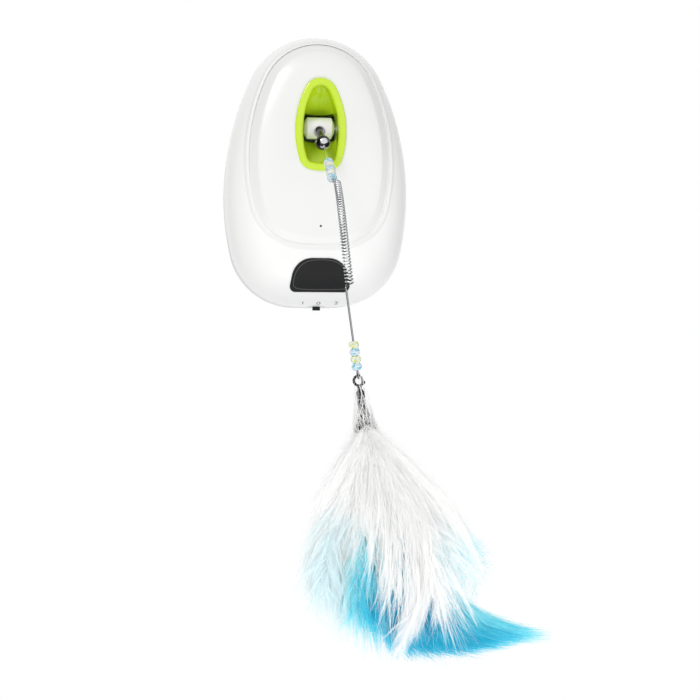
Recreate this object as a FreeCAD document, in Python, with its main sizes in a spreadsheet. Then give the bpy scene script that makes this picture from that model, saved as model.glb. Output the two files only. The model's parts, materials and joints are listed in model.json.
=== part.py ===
import FreeCAD, Part
import math
import os
import re
import Sketcher
from FreeCAD import Placement, Rotation, Vector

# Automatic cat wand toy, in millimetres, +Z up, front facing -Y.
# The flat back face lies in the plane Y = 0. The origin is on its middle line, a little above its centre.

doc = FreeCAD.newDocument("CatWandToy")
sheet = doc.addObject("Spreadsheet::Sheet", "Sizes")

# Driving dimensions: alias, value in millimetres or degrees, what it sets
DRIVING = [
    ("case_height", 148.6, "housing from bottom to top"),
    ("case_width", 101.2, "housing at its widest"),
    ("case_top_radius", 39.8, "outline arc at the top"),
    ("case_side_radius", 147, "outline arc at each side"),
    ("case_corner_radius", 37, "outline arc at each lower corner"),
    ("case_bottom_radius", 300, "outline arc at the bottom"),
    ("case_middle", -1.8, "height of the outline's middle"),
    ("parting_depth", 20, "back face to the parting plane"),
    ("front_bulge", 29, "parting plane to the front of the dome"),
    ("front_round", 24, "how far the dome closes in"),
    ("back_round", 5, "round on the back edge"),
    ("wall", 2.6, "housing wall"),
    ("panel_height", 108.7, "raised face panel"),
    ("panel_width", 75.6, "raised face panel"),
    ("panel_top_radius", 31, "face panel outline"),
    ("panel_side_radius", 108, "face panel outline"),
    ("panel_corner_radius", 26.5, "face panel outline"),
    ("panel_bottom_radius", 200, "face panel outline"),
    ("panel_middle", 10.8, "height of the face panel's middle"),
    ("panel_lift", 0.7, "face panel proud of the dome"),
    ("panel_seat", 1.5, "recess for the face panel"),
    ("panel_gap", 0.8, "groove round the face panel"),
    ("ledge", 4, "ledge that carries the face panel"),
    ("trough_height", 49.8, "rim of the trough insert"),
    ("trough_width", 27.6, "rim of the trough insert"),
    ("trough_top_radius", 9.3, "trough outline"),
    ("trough_side_radius", 52, "trough outline"),
    ("trough_corner_radius", 7.5, "trough outline"),
    ("trough_bottom_radius", 26, "trough outline"),
    ("trough_middle", 20.7, "height of the trough's middle"),
    ("rim_width", 4.3, "rim of the trough insert"),
    ("rim_height", 1.5, "rim proud of the face panel"),
    ("rim_step", 1.4, "rim overlap on the face panel"),
    ("trough_wall", 1.8, "insert behind the barrel"),
    ("well_slit", 2.4, "open slit above the barrel"),
    ("ramp_radius", 9.7, "hollow ramps of the trough"),
    ("ramp_angle", 45, "slope of the ramps"),
    ("barrel_depth", 39, "back face to the barrel's axis"),
    ("barrel_height", 20.5, "height of the barrel's axis"),
    ("barrel_radius", 5.8, "swing barrel"),
    ("barrel_length", 17, "swing barrel with its domed ends"),
    ("barrel_dome", 1.9, "depth of each domed end"),
    ("barrel_gap", 0.8, "air round the barrel"),
    ("axle_radius", 1.5, "swing axle"),
    ("running_fit", 0.05, "radial clearance of a shaft in its bore"),
    ("bush_wall", 1, "bush round the swing axle"),
    ("post_radius", 2.3, "post from the barrel to the ball"),
    ("post_angle", 29.5, "post below the horizontal"),
    ("ball_reach", 23, "barrel axis to the ball's middle"),
    ("ball_radius", 4, "chrome ball"),
    ("wire_radius", 0.5, "wand wire"),
    ("root_run", 28, "ball's middle to the first bend"),
    ("bead_run", 22, "gentle bend through the upper beads"),
    ("bead_slope", 37, "wire below the horizontal at the coil"),
    ("coil_length", 62, "wound spring along its bent axis"),
    ("coil_radius", 2, "wound spring, middle of the wire"),
    ("coil_turns", 37, "count of turns"),
    ("lean", 8, "hanging pieces lean to the right"),
    ("bead_radius", 2.5, "glass beads"),
    ("upper_bead_length", 4.1, "beads above the coil"),
    ("lower_bead_length", 3.4, "beads below the coil"),
    ("lower_run", 24.5, "coil to the lower beads"),
    ("eye_radius", 1.7, "eye at the wire's lower end, middle of the wire"),
    ("hook_radius", 2.3, "clasp hook, middle of the bar"),
    ("hook_bar", 0.65, "clasp hook bar radius"),
    ("cap_length", 14.6, "bell-shaped feather cap"),
    ("cap_top_radius", 1.9, "feather cap"),
    ("cap_rim_radius", 5.3, "feather cap"),
    ("cap_wall", 0.7, "feather cap"),
    ("window_width", 33.4, "sensor window at its foot"),
    ("window_top_width", 27, "sensor window at its top"),
    ("window_height", 17.7, "sensor window"),
    ("window_foot", 68.6, "window's foot below the middle"),
    ("lamp_height", 33.7, "lamp below the middle"),
    ("lamp_radius", 1.5, "indicator lamp body"),
    ("pinhole_radius", 0.6, "hole in front of the lamp"),
    ("overcut", 10, "how far a cutting piece runs past a face"),
    ("through", 60, "cutting piece that runs through everything"),
    ("gear_module", 0.5, "pitch of every gear"),
    ("hub_wall", 0.6, "hub between the two halves of a compound gear"),
    ("gear_width", 2.6, "face of every gear"),
    ("gear_backlash", 0.12, "play between teeth"),
    ("plate_thickness", 1.4, "gearbox plates"),
    ("gear_axle_radius", 1, "gear axles"),
    ("motor_radius", 10, "gear motor can"),
    ("motor_flat", 15.4, "gear motor across its flats"),
    ("motor_length", 25, "gear motor can"),
    ("cell_radius", 7.1, "AA cell"),
    ("cell_length", 50, "AA cell"),
    ("cell_pitch", 15, "AA cell to the next"),
    ("tray_wall", 1.4, "battery tray"),
    ("door_thickness", 1.8, "battery door"),
    ("door_gap", 0.3, "air round the battery door"),
    ("board_thickness", 1.6, "circuit board"),
    ("board_width", 56, "circuit board"),
    ("board_top", 12, "circuit board's top below the middle"),
    ("board_foot", 66, "circuit board's foot below the middle"),
    ("board_depth", 30, "back face to the board's front"),
    ("knob_width", 4.1, "switch knob"),
    ("knob_travel", 2.5, "switch knob to each side"),
    ("slot_gap", 0.4, "air round the switch knob"),
    ("key_radius", 4.5, "keyhole entry"),
    ("key_slot", 4.2, "keyhole slot"),
    ("key_rise", 10, "keyhole slot above its entry"),
    ("key_height", 46, "keyhole entry above the middle"),
    ("screw_radius", 1.3, "case screws"),
    ("boss_radius", 3.8, "screw bosses"),
    ("upper_boss_x", 29, "upper screws from the middle line"),
    ("upper_boss_z", 44, "upper screws above the middle"),
    ("lower_boss_x", 36, "lower screws from the middle line"),
    ("lower_boss_z", 42, "lower screws below the middle"),
    ("first_gear_angle", 20, "output gear to the first compound gear, above the level"),
    ("second_gear_angle", 50, "first to the second compound gear, above the level"),
    ("motor_angle", 60, "second compound gear to the motor, above the level"),
    ("gear_play", 0.05, "centres further apart than the pitch circles"),
    ("gear_gap", 0.2, "side gap between gears and plates"),
    ("pillar_radius", 1.8, "pillars between the gearbox plates"),
    ("door_screw_radius", 1.2, "battery door screws"),
    ("door_boss_radius", 3, "bosses for the door screws"),
    ("feather_length", 106, "cap rim to the tip of the plumes"),
    ("plume_width", 59, "plumes at their widest"),
    ("plume_depth", 16.6, "plumes, front to back"),
    ("plume_gap", 0.9, "plume to the middle of the wisp"),
    ("white_drift", -6, "white plume's tip to the right"),
    ("blue_drift", 14, "blue plume's tip to the right"),
    ("wisp_reach", 86, "wisp's tip to the right"),
    ("wisp_drop", 102, "cap rim to the wisp's tip"),
    ("wisp_width", 10, "wisp at its widest"),
    ("wisp_depth", 1.2, "wisp, front to back"),
    ("window_gap", 0.15, "air round the sensor window"),
    ("window_top_round", 11, "sensor window's shoulders"),
    ("window_foot_round", 3, "sensor window's lower corners"),
    ("window_lift", 0.5, "sensor window proud of the dome"),
    ("window_flange", 1.2, "flange behind the sensor window"),
    ("fit_gap", 0.1, "air round a fixed piece in its seat"),
    ("rim_round", 1.2, "round on the trough's rim"),
    ("mouth_round", 1.4, "round on the rim's inner edge"),
    ("left_bush_length", 3, "bush at the barrel's free end"),
    ("barrel_end_drop", 3.6, "how far the barrel narrows at each end"),
    ("barrel_dome_radius", 9.1, "arc of each domed end"),
    ("barrel_lip", 0.3, "step at the seam of each domed end"),
    ("axle_end", 0.5, "axle beyond its left bush"),
    ("post_root", 2.6, "post's foot from the barrel's axis"),
    ("ball_seat", 2, "post's end from the ball's middle"),
    ("wire_seat", 1, "wire's root from the ball's middle"),
    ("coil_lead", 2, "straight wire between beads and coil"),
    ("coil_bend", 1.5, "bend between the straight ends and the turns"),
    ("coil_phase", 40, "where the turns begin, from the wire's side"),
    ("bead_play", 0.15, "air between bead and wire"),
    ("bead_sag", 0.8, "bead's belly above its ends"),
    ("eye_gap", 10, "angle between the eye's two ends, inside the straight wire"),
    ("link_gap", 0.15, "air between the eye and the hook"),
    ("hook_tip_angle", 66, "hook's tip, from the level"),
    ("hook_sweep", 247, "hook's fixed arc"),
    ("gate_angle", 30, "gate's pin below the level"),
    ("gate_tip_angle", 52, "gate's tip, from the level"),
    ("gate_bar", 0.45, "gate's bar radius"),
    ("gate_play", 0.06, "air beside the gate's knuckle"),
    ("gate_pin_radius", 0.25, "gate's pin"),
    ("lug_radius", 0.9, "fork that holds the gate's pin"),
    ("lug_width", 0.35, "fork's cheek"),
    ("lug_gap", 0.45, "middle to the inside of a cheek"),
    ("shank_length", 3, "hook to the swivel barrel"),
    ("shank_radius", 0.95, "waist of the shank"),
    ("swivel_length", 3.4, "swivel barrel"),
    ("swivel_roof", 0.8, "walls above and below the swivel's chamber"),
    ("swivel_head_radius", 1.15, "head of the swivel pin"),
    ("swivel_radius", 0.6, "stem of the swivel pin"),
    ("swivel_play", 0.1, "air round the swivel pin's head"),
    ("cap_gap", 0.3, "swivel barrel to the feather cap"),
    ("cap_flare", 40, "arc of the cap's side"),
    ("plate_corner", 2, "gearbox plates' corners"),
    ("plate_margin", 10.8, "gearbox plate in front of the barrel's axis, in modules"),
    ("plate_drop", 18.8, "gearbox plate below the barrel's axis, in modules"),
    ("plate_sole", 34, "end of the plate's lower edge, behind the barrel's axis, in modules"),
    ("plate_reach", 60, "gearbox plate behind the barrel's axis, in modules"),
    ("plate_heel", 12, "foot of the plate's rear edge above the barrel's axis, in modules"),
    ("plate_rise", 62, "gearbox plate above the barrel's axis, in modules"),
    ("plate_crown", 20, "front of the plate's top edge, behind the barrel's axis, in modules"),
    ("plate_brow", 24, "top of the plate's front edge above the barrel's axis, in modules"),
    ("gear_left", -20, "start of the bores along the gear axes"),
    ("motor_boss_radius", 3, "motor's boss"),
    ("motor_shaft_radius", 0.75, "motor's shaft"),
    ("motor_shaft_depth", 2, "shaft's seat in the motor"),
    ("sensor_radius", 4.6, "motion sensor can"),
    ("sensor_length", 4.5, "motion sensor can"),
    ("sensor_height", 60, "motion sensor below the middle"),
    ("lamp_length", 5, "indicator lamp body"),
    ("switch_width", 9.5, "slide switch body"),
    ("switch_depth", 4.8, "slide switch body"),
    ("switch_height", 7, "slide switch body"),
    ("switch_foot", 71, "slide switch's foot below the middle"),
    ("knob_depth", 2.4, "switch knob"),
    ("knob_place", 26, "back face to the knob's middle"),
    ("knob_reach", 2, "knob below the housing"),
    ("board_post_radius", 2, "posts that carry the board"),
    ("board_post_x", 24, "board posts from the middle line"),
    ("upper_board_post", 44, "upper board posts below the middle"),
    ("lower_board_post", 61, "lower board posts below the middle"),
    ("screw_length", 24, "case screws under the head's top"),
    ("screw_head", 2, "case screw head"),
    ("screw_head_radius", 2.4, "case screw head"),
    ("screw_well", 3.2, "floor of the screw wells below the back face"),
    ("screw_gap", 0.2, "air round the case screws"),
    ("cell_foot", 58.2, "cells' lower end below the middle"),
    ("cell_gap", 0.4, "air round the cells"),
    ("cell_nub", 1, "cell's button"),
    ("cell_nub_radius", 2.7, "cell's button"),
    ("contact_room", 2.3, "room for the contacts at each end"),
    ("contact_plate", 0.4, "contact plates"),
    ("contact_width", 9.9, "contact plates, square"),
    ("contact_foot", 4.3, "contact spring's first turn"),
    ("contact_head", 2.5, "contact spring's last turn"),
    ("boss_gap", 0.3, "air between the tray and the door screw bosses"),
    ("door_sink", 0.2, "battery door below the back face"),
    ("door_lap", 2, "ledge under the battery door"),
    ("door_border", 3.5, "door beyond its screws"),
    ("door_corner", 6, "battery door's corners"),
    ("door_screw_length", 7, "battery door screws"),
    ("door_head", 1.1, "battery door screw head"),
    ("door_head_radius", 2.2, "battery door screw head"),
]

ALIASES = {alias for alias, amount, meaning in DRIVING}
for row, (alias, amount, meaning) in enumerate(DRIVING, start=1):
    sheet.set("A%d" % row, meaning)
    sheet.set("B%d" % row, str(amount))
    sheet.setAlias("B%d" % row, alias)
doc.recompute()

PARTS = []
TOP = Vector(0, 0, 1)
RIGHT = Vector(1, 0, 0)
FRONT = Vector(0, -1, 0)
BACK = Vector(0, 1, 0)

# Counts of beads, sides of bent bars and arcs in a bend
UPPER_BEADS = 5
LOWER_BEADS = 4
COIL_SIDES = 5
WIRE_SIDES = 8
BEND_PARTS = 3

# Places worked out from the driving dimensions
EGG_ARCS = ("top", "side", "corner", "bottom")
CASE_FOOT = "(case_middle - case_height / 2)"
FRONT_FACE = "parting_depth + front_bulge"
PANEL_FACE = "parting_depth + front_bulge + panel_lift"
BEYOND = "parting_depth + front_bulge + overcut"
TROUGH_BACK = "barrel_depth - barrel_radius - barrel_gap - trough_wall"
BUSH_RADIUS = "(axle_radius + running_fit + bush_wall)"
BARREL_END = "(barrel_length / 2 + barrel_gap)"
PLATE_PLACE = "(trough_width / 2 - rim_step)"
FIRST_LAYER = PLATE_PLACE + " + plate_thickness + gear_gap"
LAYERS = [FIRST_LAYER + " + %d * (gear_width + gear_gap)" % layer for layer in range(3)]
OUTER_PLATE = "(%s + plate_thickness + 4 * gear_gap + 3 * gear_width)" % PLATE_PLACE
BAY_WIDTH = "(2 * cell_pitch + 2 * cell_radius + 2 * cell_gap)"
BAY_DEPTH = "(2 * cell_radius + 2 * cell_gap)"
BAY_HEIGHT = "(cell_length + 2 * contact_room)"
DOOR_WIDTH = "(%s + 2 * door_lap)" % BAY_WIDTH
UPPER_DOOR_SCREW = "(cell_length - cell_foot + contact_room + tray_wall + boss_gap + door_boss_radius)"
LOWER_DOOR_SCREW = "(-cell_foot - contact_room - tray_wall - boss_gap - door_boss_radius)"
DOOR_HEAD = "(%s + door_border)" % UPPER_DOOR_SCREW
DOOR_FOOT = "(%s - door_border)" % LOWER_DOOR_SCREW
EYE_HEIGHT = "-(lower_run + %d * lower_bead_length + wire_radius + eye_radius)" % LOWER_BEADS
HOOK_TOP = EYE_HEIGHT + " - eye_radius + wire_radius + hook_bar + link_gap"
HOOK_MIDDLE = HOOK_TOP + " - hook_radius"
HOOK_FOOT = HOOK_MIDDLE + " - hook_radius"
GATE_X = "hook_radius * cos(gate_angle * 1 deg)"
GATE_Z = HOOK_MIDDLE + " - hook_radius * sin(gate_angle * 1 deg)"
CAP_TOP = HOOK_FOOT + " - shank_length - swivel_length - cap_gap"

# Gear teeth, and the step from each axis to the next
OUTPUT_TEETH = 24
PINION_TEETH = 10
WHEEL_TEETH = 30
FIRST_WHEEL_TEETH = 32
GEAR_STEPS = [
    (OUTPUT_TEETH + PINION_TEETH, "first_gear_angle"),
    (WHEEL_TEETH + PINION_TEETH, "second_gear_angle"),
    (FIRST_WHEEL_TEETH + PINION_TEETH, "motor_angle"),
]

# Outlines of the plumes and the wisp: share of the length below the cap's rim, share of the full width
PLUME_SHAPE = [(-0.05, 0.03), (0.02, 0.1), (0.12, 0.35), (0.3, 0.8), (0.55, 1), (0.8, 0.84), (1, 0.34)]
WISP_SHAPE = [(-0.05, 0.12), (0.1, 0.24), (0.35, 0.6), (0.65, 1), (0.85, 1), (1, 0.5)]

# Gearbox pillars: back from and above the barrel's axis, in modules
PILLARS = [("54", "14"), ("2", "27"), ("26", "-14"), ("26", "56")]

# Sizes and expressions

def formula(text):
    """Expression for the document, where a sheet alias is written as a bare word."""
    words = re.compile(r"[a-z][a-z_]+[a-z]")

    def in_sheet(word):
        return "Sizes." + word.group() if word.group() in ALIASES else word.group()

    return words.sub(in_sheet, str(text))


def value(text):
    """Number that a formula has with the sheet's present sizes."""
    amount = sheet.evalExpression(formula(text))
    return float(getattr(amount, "Value", amount))


def bind(thing, path, text):
    """Tie a property to the sheet."""
    thing.setExpression(path, formula(text))


def point(x, y, z):
    return Vector(value(x), value(y), value(z))


def move_to(thing, x, y, z, rotation=Rotation()):
    """Place a piece at a spot that is bound to the sheet."""
    thing.Placement = Placement(Vector(), rotation)
    for axis, text in (("x", x), ("y", y), ("z", z)):
        bind(thing, "Placement.Base." + axis, text)
    return thing


def named(thing, label):
    """Name a finished sub-part, so that it is written out."""
    thing.Label = label
    PARTS.append(thing)
    return thing


# Plain solids and how they are combined

def rod(radius, length, x, y, z, axis=TOP):
    """Cylinder that starts at x, y, z and runs along axis."""
    piece = doc.addObject("Part::Cylinder", "Rod")
    bind(piece, "Radius", radius)
    bind(piece, "Height", length)
    return move_to(piece, x, y, z, Rotation(TOP, axis))


def loose_rod(radius, length):
    """Cylinder that is placed later, in the frame that hangs from the coil."""
    piece = doc.addObject("Part::Cylinder", "Rod")
    bind(piece, "Radius", radius)
    bind(piece, "Height", length)
    return piece


def block(length, width, height, x, y, z):
    """Box whose lowest corner is at x, y, z."""
    piece = doc.addObject("Part::Box", "Block")
    bind(piece, "Length", length)
    bind(piece, "Width", width)
    bind(piece, "Height", height)
    return move_to(piece, x, y, z)


def ball(radius, x, y, z):
    piece = doc.addObject("Part::Sphere", "Ball")
    bind(piece, "Radius", radius)
    return move_to(piece, x, y, z)


def cut(base, *tools):
    for tool in tools:
        piece = doc.addObject("Part::Cut", "Cut")
        piece.Base = base
        piece.Tool = tool
        base = piece
    return base


def common(base, tool):
    piece = doc.addObject("Part::Common", "Common")
    piece.Base = base
    piece.Tool = tool
    return piece


def fuse(*pieces):
    piece = doc.addObject("Part::MultiFuse", "Fuse")
    piece.Shapes = list(pieces)
    return piece


def group(*pieces):
    """Separate solids that are alike and share one node."""
    piece = doc.addObject("Part::Compound", "Group")
    piece.Links = list(pieces)
    return piece


def shaped(shape):
    """Free form whose shape is worked out from the sheet's sizes."""
    piece = doc.addObject("Part::Feature", "Form")
    piece.Shape = shape
    return piece


# Sketched solids

def new_body():
    return doc.addObject("PartDesign::Body", "Body")


def plane_of(body, role):
    for feature in body.Origin.OriginFeatures:
        if feature.Role == role:
            return feature
    raise ValueError(role)


def sketch_on(body, role, offset="0"):
    sketch = body.newObject("Sketcher::SketchObject", "Sketch")
    sketch.AttachmentSupport = [(plane_of(body, role), "")]
    sketch.MapMode = "FlatFace"
    bind(sketch, "AttachmentOffset.Base.z", offset)
    return sketch


def hold(sketch, text, kind, *where):
    """Add one dimension to a sketch and tie it to the sheet."""
    index = sketch.addConstraint(Sketcher.Constraint(kind, *where, value(text)))
    bind(sketch, "Constraints[%d]" % index, text)


def pin_point(sketch, index, place, x, y):
    """Hold one end of a sketched line at x, y."""
    for text, kind, axis in ((x, "DistanceX", -2), (y, "DistanceY", -1)):
        if abs(value(text)) < 1e-9:
            sketch.addConstraint(Sketcher.Constraint("PointOnObject", index, place, axis))
        else:
            hold(sketch, text, kind, -1, 1, index, place)


def outline(sketch, corners):
    """Closed outline; a corner is (x, y) or (x, y, radius) where an arc leads on to the next.

    A positive radius bulges to the right of the way from one corner to the next.
    """
    count = len(corners)
    spots = [Vector(value(corner[0]), value(corner[1]), 0) for corner in corners]
    for index, corner in enumerate(corners):
        start = spots[index]
        end = spots[(index + 1) % count]
        if len(corner) == 2:
            sketch.addGeometry(Part.LineSegment(start, end), False)
            continue
        radius = value(corner[2])
        chord = end - start
        side = Vector(chord.y, -chord.x, 0).normalize() * math.copysign(1, radius)
        sag = abs(radius) - math.sqrt(radius ** 2 - chord.Length ** 2 / 4)
        sketch.addGeometry(Part.Arc(start, (start + end) / 2 + side * sag, end), False)
    ends = []
    for index, corner in enumerate(corners):
        bulges_right = len(corner) == 3 and value(corner[2]) > 0
        bulges_left = len(corner) == 3 and not bulges_right
        ends.append((2, 1) if bulges_left else (1, 2))
    for index in range(count):
        following = (index + 1) % count
        spots = (index, ends[index][1], following, ends[following][0])
        sketch.addConstraint(Sketcher.Constraint("Coincident", *spots))
    for index, corner in enumerate(corners):
        pin_point(sketch, index, ends[index][0], corner[0], corner[1])
        if len(corner) == 3:
            hold(sketch, "abs(%s)" % corner[2], "Radius", index)


def pad(body, sketch, length):
    feature = body.newObject("PartDesign::Pad", "Pad")
    feature.Profile = sketch
    bind(feature, "Length", length)


def turned(corners):
    """Body turned about Z; each corner is (radius, height) or has an arc radius as well."""
    body = new_body()
    sketch = sketch_on(body, "XZ_Plane")
    outline(sketch, corners)
    feature = body.newObject("PartDesign::Revolution", "Revolution")
    feature.Profile = sketch
    feature.ReferenceAxis = (sketch, ["V_Axis"])
    feature.Angle = 360
    return body


def lies_at(edge, axis, place):
    """Whether every point of an edge is at one place along an axis."""
    return all(abs(spot.dot(axis) - place) < 0.01 for spot in edge.discretize(5))


def runs_along(edge, axis):
    """Whether an edge is a straight line along an axis."""
    way = edge.valueAt(edge.LastParameter) - edge.valueAt(edge.FirstParameter)
    return way.Length > 0.01 and abs(way.dot(axis)) > 0.9999 * edge.Length


def round_edges(body, test, radius):
    """Fillet the edges of a body that pass the test."""
    doc.recompute()
    base = body.Tip
    chosen = ["Edge%d" % number for number, edge in enumerate(base.Shape.Edges, start=1) if test(edge)]
    fillet = body.newObject("PartDesign::Fillet", "Fillet")
    fillet.Base = (base, chosen)
    bind(fillet, "Radius", radius)
    doc.recompute()


def softened(piece, test, radius):
    """Fillet the edges of a combined solid that pass the test."""
    doc.recompute()
    fillet = doc.addObject("Part::Fillet", "Fillet")
    fillet.Base = piece
    size = value(radius)
    chosen = [number for number, edge in enumerate(piece.Shape.Edges, start=1) if test(edge)]
    fillet.Edges = [(number, size, size) for number in chosen]
    return fillet


def slab(width, low, high, back, thickness, corner):
    """Upright plate with rounded corners, its rear face at Y = back."""
    body = new_body()
    sketch = sketch_on(body, "XZ_Plane", "-(%s)" % back)
    outline(sketch, [
        ("-(%s) / 2" % width, low),
        ("(%s) / 2" % width, low),
        ("(%s) / 2" % width, high),
        ("-(%s) / 2" % width, high),
    ])
    pad(body, sketch, thickness)
    round_edges(body, lambda edge: runs_along(edge, FRONT), corner)
    return body


# Egg outlines: six arcs, tangent where they meet

def egg_centres(width, height, top, side, corner, bottom):
    """Centres of the top, right side, right corner and bottom arcs."""
    top_z = height / 2 - top
    bottom_z = bottom - height / 2
    side_x = width / 2 - side
    side_z = top_z - math.sqrt((side - top) ** 2 - side_x ** 2)
    reach = side - corner
    rise = bottom - corner
    gap = math.hypot(side_x, bottom_z - side_z)
    along = (reach ** 2 - rise ** 2 + gap ** 2) / (2 * gap)
    off = math.sqrt(reach ** 2 - along ** 2)
    toward = (-side_x / gap, (bottom_z - side_z) / gap)
    choices = []
    for sign in (1, -1):
        corner_x = side_x + along * toward[0] - sign * off * toward[1]
        corner_z = side_z + along * toward[1] + sign * off * toward[0]
        choices.append((corner_x, corner_z))
    return (0, top_z), (side_x, side_z), max(choices), (0, bottom_z)


def egg_sketch(body, kind, depth, grow="0"):
    """Egg outline of one kind, offset outwards by grow, at a depth in front of the back."""
    sketch = sketch_on(body, "XZ_Plane", depth)
    spread = value(grow)
    radii = [size + spread for size in (value("%s_%s_radius" % (kind, name)) for name in EGG_ARCS)]
    width = value(kind + "_width") + 2 * spread
    height = value(kind + "_height") + 2 * spread
    middle = value(kind + "_middle")
    centres = egg_centres(width, height, *radii)
    top, side, corner, bottom = [(x, z + middle) for x, z in centres]
    shoulder = math.atan2(top[1] - side[1], top[0] - side[0])
    hip = math.atan2(corner[1] - side[1], corner[0] - side[0])
    foot = math.atan2(corner[1] - bottom[1], corner[0] - bottom[0])
    left_side = (-side[0], side[1])
    left_corner = (-corner[0], corner[1])
    arcs = [
        (side, radii[1], hip, shoulder),
        (top, radii[0], shoulder, math.pi - shoulder),
        (left_side, radii[1], math.pi - shoulder, math.pi - hip),
        (left_corner, radii[2], math.pi - hip, math.pi - foot),
        (bottom, radii[3], math.pi - foot, 2 * math.pi + foot),
        (corner, radii[2], foot, hip),
    ]
    for centre, radius, start, end in arcs:
        circle = Part.Circle(Vector(centre[0], centre[1], 0), TOP, radius)
        sketch.addGeometry(Part.ArcOfCircle(circle, start, end), False)
    for index in range(len(arcs)):
        sketch.addConstraint(Sketcher.Constraint("Tangent", index, 2, (index + 1) % len(arcs), 1))
    sketch.addConstraint(Sketcher.Constraint("Equal", 0, 2))
    sketch.addConstraint(Sketcher.Constraint("Equal", 3, 5))
    sketch.addConstraint(Sketcher.Constraint("PointOnObject", 1, 3, -2))
    sketch.addConstraint(Sketcher.Constraint("PointOnObject", 4, 3, -2))
    for index, name in ((0, "side"), (1, "top"), (4, "bottom"), (5, "corner")):
        hold(sketch, "%s_%s_radius + (%s)" % (kind, name, grow), "Radius", index)
    reach = "%s_side_radius - %s_width / 2" % (kind, kind)
    high = "%s_middle + %s_height / 2 - %s_top_radius" % (kind, kind, kind)
    low = "%s_middle - %s_height / 2 + %s_bottom_radius" % (kind, kind, kind)
    hold(sketch, high, "DistanceY", -1, 1, 1, 3)
    hold(sketch, low, "DistanceY", -1, 1, 4, 3)
    hold(sketch, reach, "DistanceX", 0, 3, -1, 1)
    hold(sketch, reach, "DistanceX", -1, 1, 2, 3)
    return sketch


def egg_column(kind, near, far, grow="0"):
    """Straight egg between two depths in front of the back face."""
    body = new_body()
    sketch = egg_sketch(body, kind, near, grow)
    pad(body, sketch, "(%s) - (%s)" % (far, near))
    return body


def dome(lift):
    """Domed front form, lifted off the housing's front surface by lift."""
    body = egg_column("case", "parting_depth", "%s + (%s)" % (FRONT_FACE, lift), lift)
    face = value(FRONT_FACE) + value(lift)
    round_edges(body, lambda edge: lies_at(edge, FRONT, face), "front_round + (%s)" % lift)
    return body


# Housing

def boss_spots():
    """Case screws: two above and two below."""
    for side in ("", "-"):
        yield side + "upper_boss_x", "upper_boss_z"
        yield side + "lower_boss_x", "-lower_boss_z"


def window_column(grow):
    """D-shaped outline of the sensor window, offset by grow."""
    body = new_body()
    sketch = sketch_on(body, "XZ_Plane", "parting_depth")
    foot = "-window_foot - (%s)" % grow
    head = "window_height - window_foot + (%s)" % grow
    outline(sketch, [
        ("-window_width / 2 - (%s)" % grow, foot),
        ("window_width / 2 + (%s)" % grow, foot),
        ("window_top_width / 2 + (%s)" % grow, head),
        ("-window_top_width / 2 - (%s)" % grow, head),
    ])
    pad(body, sketch, "front_bulge + overcut")
    low = value(foot)
    high = value(head)
    for height, radius in ((high, "window_top_round"), (low, "window_foot_round")):
        round_edges(body, lambda edge: runs_along(edge, FRONT) and lies_at(edge, TOP, height),
                    "%s + (%s)" % (radius, grow))
    return body


def front_shell():
    shell = cut(dome("0"), dome("-wall"))
    recess = cut(egg_column("panel", "parting_depth", BEYOND, "panel_gap / 2"), dome("-panel_seat"))
    mouth = egg_column("panel", "parting_depth", BEYOND, "-ledge")
    slot = block("knob_width + 2 * knob_travel + 2 * slot_gap", "knob_depth + 2 * slot_gap", "2 * wall",
                 "-knob_width / 2 - knob_travel - slot_gap", "-knob_place - knob_depth / 2 - slot_gap",
                 CASE_FOOT + " - wall / 2")
    shell = cut(shell, recess, mouth, window_column("window_gap"), slot)
    inside = dome("-(wall + panel_seat) / 2")
    pieces = [shell]
    for x, z in boss_spots():
        boss = common(rod("boss_radius", "front_bulge", x, "-parting_depth", z, FRONT), inside)
        depth = "screw_length + screw_well - parting_depth + 1"
        pilot = rod("screw_radius", depth, x, "-parting_depth", z, FRONT)
        pieces.append(cut(boss, pilot))
    for x in ("board_post_x", "-board_post_x"):
        for z in ("-upper_board_post", "-lower_board_post"):
            post = rod("board_post_radius", "front_bulge", x, "-board_depth", z, FRONT)
            pieces.append(common(post, inside))
    return named(fuse(*pieces), "front_shell")


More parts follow.
